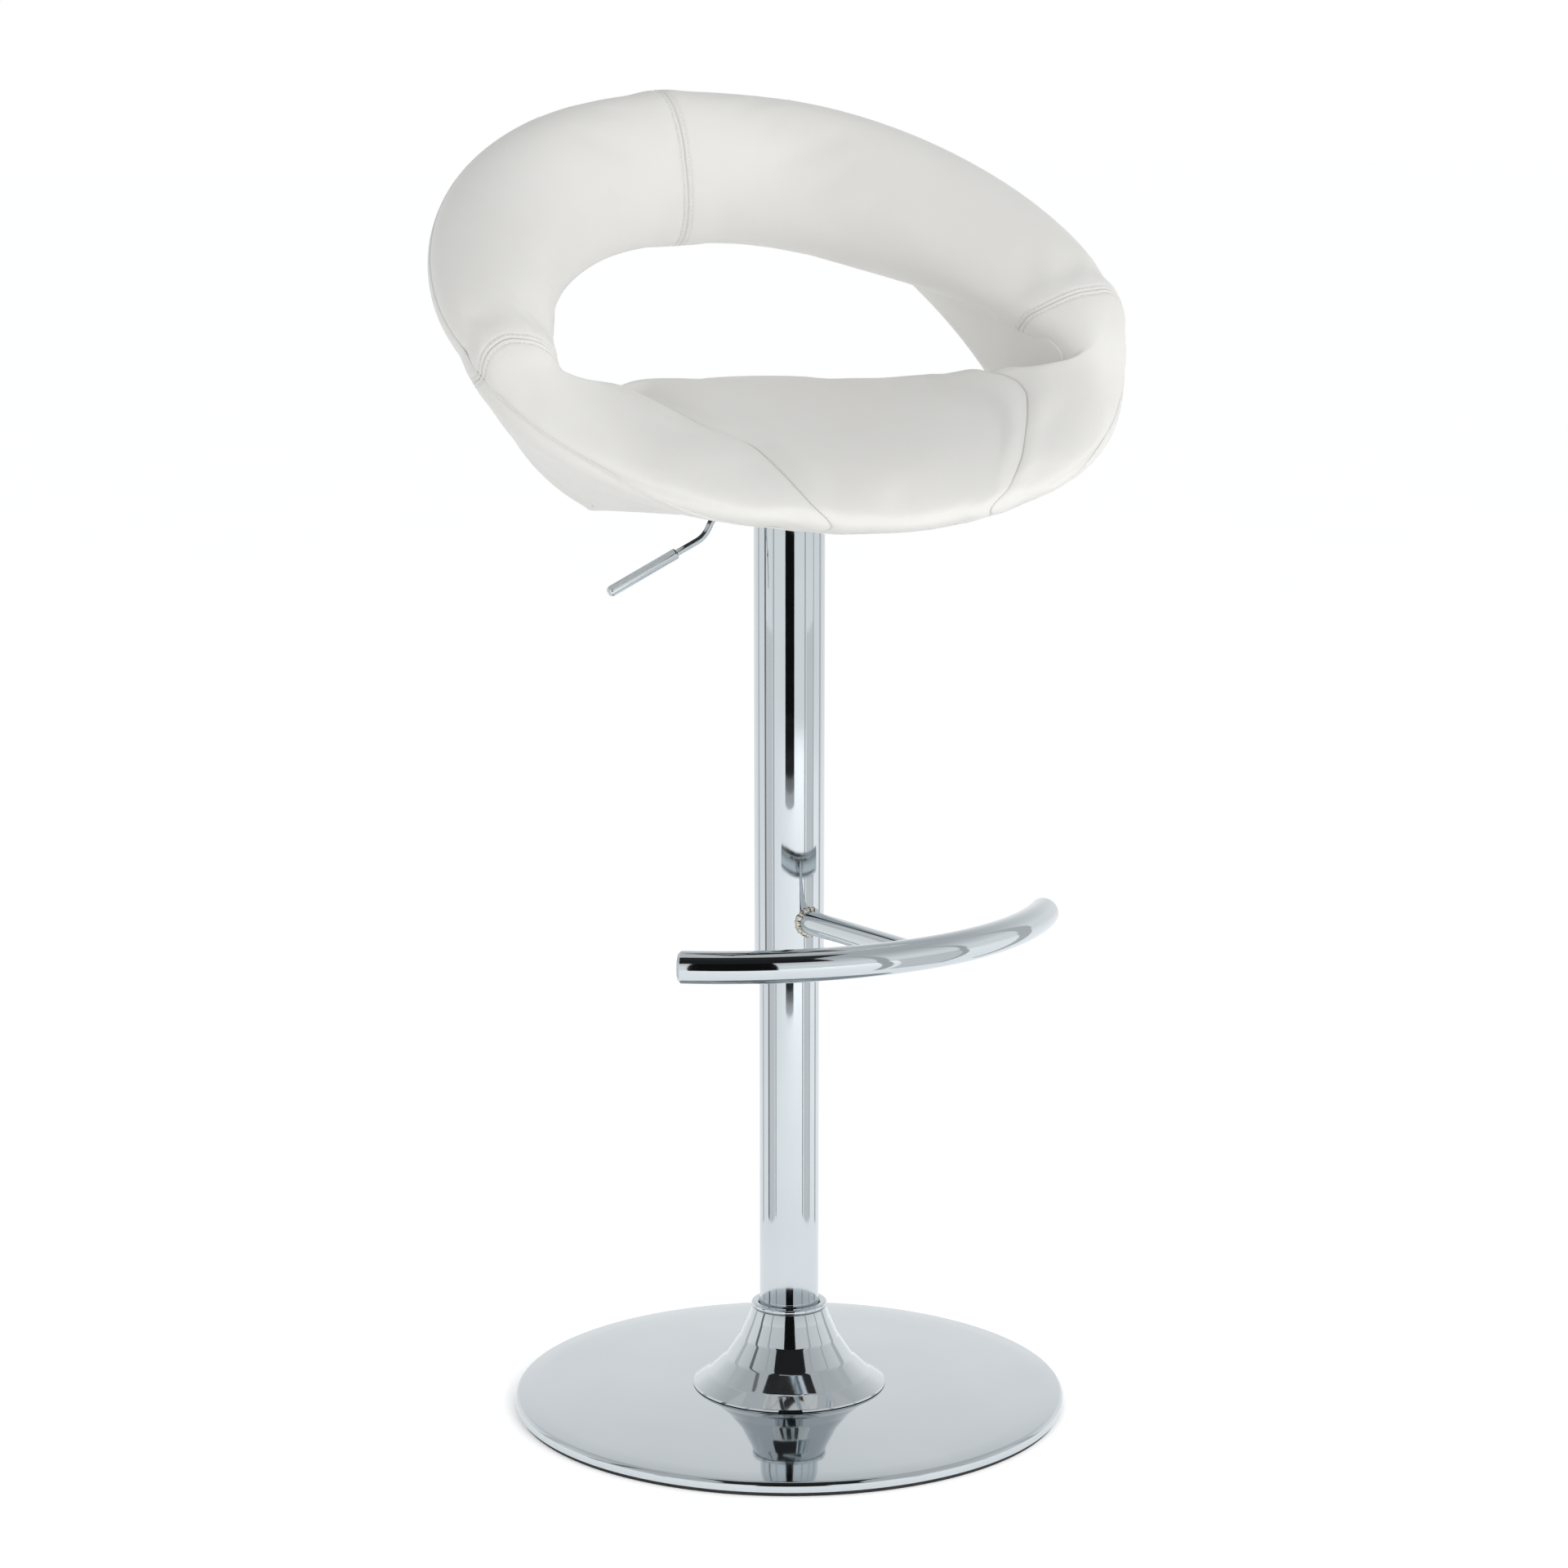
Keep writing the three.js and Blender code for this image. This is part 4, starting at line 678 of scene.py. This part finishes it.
def line_at(name, end, dist, ph0, ph1):
    P, N, d0, d1 = GRIDS[name][:4]; d = d0 if end == 0 else d1
    out, nn = [], []
    for j, ph in enumerate(PHI_FINE):
        dj = d[:, j]
        order = np.argsort(dj)
        out.append([np.interp(dist, dj[order], P[order, j, k]) for k in range(3)]); nn.append([np.interp(dist, dj[order], N[order, j, k]) for k in range(3)])
    out, nn = np.array(out), np.array(nn)
    a = np.arange(ph0, ph1, 2.0) * D2R; pc = np.concatenate([PHI_FINE - TAU, PHI_FINE, PHI_FINE + TAU])
    o3, n3 = np.concatenate([out] * 3), np.concatenate([nn] * 3)
    return np.stack([np.interp(a, pc, o3[:, k]) for k in range(3)], 1), np.stack([np.interp(a, pc, n3[:, k]) for k in range(3)], 1)

stitch_rows("back_seam_stitches", [line_at("back_cover_left", 1, 3.7, 0, 356), line_at("back_cover_right", 1, 3.7, 0, 356)])
stitch_rows("arm_seam_stitches_left", [line_at("arm_cover_left", 1, 3.7, -8, 200), line_at("back_cover_left", 0, 3.7, -8, 200)])
stitch_rows("arm_seam_stitches_right", [line_at("arm_cover_right", 1, 3.7, -8, 200), line_at("back_cover_right", 0, 3.7, -8, 200)])
stitch_rows("panel_seam_stitches", [line_at("seat_panel", 1, 0.9, 0, 172), line_at("seat_panel", 0, 0.9, 0, 172)], 0.26, 2.2, 3.0)

# ------------------------------------------------------------------ materials of the CAD nodes that stay
MATS = {"column_flange": STEEL, "column_weld": WELD, "base_weight": IRON, "bearing_seat": STEEL, "bearing_lower_race": STEEL, "bearing_upper_race": STEEL, "bearing_ball_cage": GREY_PLASTIC,
        "guide_bush": BLACK_PLASTIC, "sleeve_bush": BLACK_PLASTIC, "sleeve_top_ring": BLACK_PLASTIC, "gas_piston": BLACK_PLASTIC, "gas_cylinder": BLACK_STEEL, "piston_rod": STEEL, "retaining_clip": STEEL,
        "seat_bracket": BLACK_STEEL, "lever_pivot_pin": STEEL, "back_hoop": BLACK_STEEL, "hoop_strap_left": BLACK_STEEL, "hoop_strap_right": BLACK_STEEL, "seat_board": LEATHER, "valve_pin": STEEL}
for name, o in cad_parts.items():
    m = MATS.get(name) or (STEEL if "bolt" in name else None)
    if m is not None:
        if not o.material_slots: o.data.materials.append(m)
        for s_ in o.material_slots: s_.material = m

# ------------------------------------------------------------------ studio: pale floor, soft light, dark card behind the camera that only the chrome picks up
w = bpy.data.worlds.new("studio"); scene.world = w; w.use_nodes = True
nt = w.node_tree; bg = nt.nodes["Background"] if "Background" in nt.nodes else nt.nodes.new("ShaderNodeBackground")
tc = nt.nodes.new("ShaderNodeTexCoord"); sep = nt.nodes.new("ShaderNodeSeparateXYZ"); nt.links.new(tc.outputs["Generated"], sep.inputs[0])
rp = nt.nodes.new("ShaderNodeValToRGB")
rp.color_ramp.elements[0].position = 0.22; rp.color_ramp.elements[0].color = (1.0, 1.0, 1.0, 1)
rp.color_ramp.elements[1].position = 0.75; rp.color_ramp.elements[1].color = (0.58, 0.59, 0.60, 1)
nt.links.new(sep.outputs["Z"], rp.inputs["Fac"]); nt.links.new(rp.outputs["Color"], bg.inputs["Color"]); bg.inputs["Strength"].default_value = 1.0

def stage_mesh(name, V, F, mat):
    me = bpy.data.meshes.new(name); me.from_pydata(V, [], F); me.materials.append(mat)
    o = bpy.data.objects.new(name, me); scene.collection.objects.link(o); return o
fm, fnt, fb, fvec = new_mat("pale_floor")
fnt.links.new(ramp(fnt, noise(fnt, fvec, 3.0, 3.0), [(0.3, (0.90, 0.90, 0.90)), (0.7, (0.92, 0.92, 0.92))]), fb.inputs["Base Color"])
fb.inputs["Roughness"].default_value = 0.9; fb.inputs["Specular IOR Level"].default_value = 0.1
fb.inputs["Emission Color"].default_value = (1, 1, 1, 1); fb.inputs["Emission Strength"].default_value = 0.36
stage_mesh("floor", [(-90, -90, 0), (90, -90, 0), (90, 90, 0), (-90, 90, 0)], [(0, 1, 2, 3)], fm)

def glow(name, value):
    m = bpy.data.materials.new(name); m.use_nodes = True; n_ = m.node_tree; n_.nodes.clear()
    e = n_.nodes.new("ShaderNodeEmission"); e.inputs["Color"].default_value = (value, value, value * 1.01, 1); e.inputs["Strength"].default_value = 1.0
    out = n_.nodes.new("ShaderNodeOutputMaterial"); n_.links.new(e.outputs[0], out.inputs[0]); return m
def card(name, az_rel, half_w, z0, z1, dist, value):
    """an upright card, az_rel degrees round from the camera, that only glossy reflections see"""
    a0, a1 = math.radians(-25.5 + az_rel - half_w), math.radians(-25.5 + az_rel + half_w)
    p = lambda a, z: (math.sin(a) * dist, -math.cos(a) * dist, z)
    o = stage_mesh(name, [p(a0, z0), p(a1, z0), p(a1, z1), p(a0, z1)], [(0, 1, 2, 3)], glow(name + "_tone", value))
    o.visible_camera = o.visible_diffuse = o.visible_transmission = o.visible_shadow = o.visible_volume_scatter = False
    return o
card("card_camera_side", 1.5, 14.5, 0.16, 7.5, 3.25, 0.006)
card("card_camera_side_low", 1.5, 14.5, 0.0, 0.17, 3.26, 0.012)
card("card_camera_high", 1.5, 36.0, 2.3, 5.5, 3.3, 0.02)
def flat_card(name, az_rel, half_w, r0, r1, z, value):
    """the same, lying flat at height z"""
    a0, a1 = math.radians(-25.5 + az_rel - half_w), math.radians(-25.5 + az_rel + half_w)
    p = lambda a, r: (math.sin(a) * r, -math.cos(a) * r, z)
    o = stage_mesh(name, [p(a0, r0), p(a1, r0), p(a1, r1), p(a0, r1)], [(0, 1, 2, 3)], glow(name + "_tone", value))
    o.visible_camera = o.visible_diffuse = o.visible_transmission = o.visible_shadow = o.visible_volume_scatter = False
for i, (r0, r1, v) in enumerate([(2.1, 2.35, 0.5), (2.35, 2.6, 0.22), (2.6, 3.3, 0.02)]):
    flat_card("card_floor_front_%d" % i, 1.5, 14.5, r0, r1, 0.004, v)
dx, dy = math.sin(math.radians(-24.0)), -math.cos(math.radians(-24.0))
top = stage_mesh("card_overhead", [(dx * r - dy * u, dy * r + dx * u, 5.4) for r, u in ((0.7, -2.3), (0.7, 2.3), (3.2, 2.3), (3.2, -2.3))], [(0, 1, 2, 3)], glow("card_overhead_tone", 0.03))
top.visible_camera = top.visible_diffuse = top.visible_transmission = top.visible_shadow = top.visible_volume_scatter = False
for i, (az_, hw_, v) in enumerate([(-84, 3.2, 0.25), (-52, 2.2, 0.55), (52, 2.2, 0.55), (117, 4.5, 0.62), (-117, 4.0, 0.66), (84, 1.6, 0.55)]):
    flat_card("card_floor_side_%d" % i, az_, hw_, 0.45, 14.0, 0.005 + i * 0.0002, v)
for i, (az_, v) in enumerate([(-70, 0.80), (70, 0.80)]):
    flat_card("card_floor_wide_%d" % i, az_, 13.0, 0.45, 14.0, 0.003, v)
card("card_gap_a", -84, 3.2, 0.0, 9.0, 5.0, 0.20)
card("card_gap_b", -52, 2.2, 0.0, 9.0, 5.0, 0.55)
card("card_gap_c", 52, 2.2, 0.0, 9.0, 5.0, 0.55)
card("card_gap_d", 117, 4.5, 0.0, 9.0, 5.0, 0.62)
card("card_gap_e", -117, 4.0, 0.0, 9.0, 5.0, 0.66)
card("card_gap_f", 84, 1.6, 0.0, 9.0, 5.0, 0.55)

def area(name, loc, target, size, power, colour=(1, 1, 1)):
    l = bpy.data.lights.new(name, "AREA"); l.shape = "RECTANGLE"; l.size, l.size_y = size; l.energy = power; l.color = colour
    o = bpy.data.objects.new(name, l); scene.collection.objects.link(o); o.location = loc
    o.rotation_mode = "QUATERNION"; o.rotation_quaternion = (Vector(target) - Vector(loc)).to_track_quat("-Z", "Y")
    o.visible_camera = False; o.visible_glossy = False
    return o
area("key_soft", (0.45, -3.4, 1.9), (0, 0, 0.85), (2.0, 1.6), 47)
area("side_soft", (2.6, -0.9, 1.7), (0, 0, 0.85), (1.4, 1.4), 6)
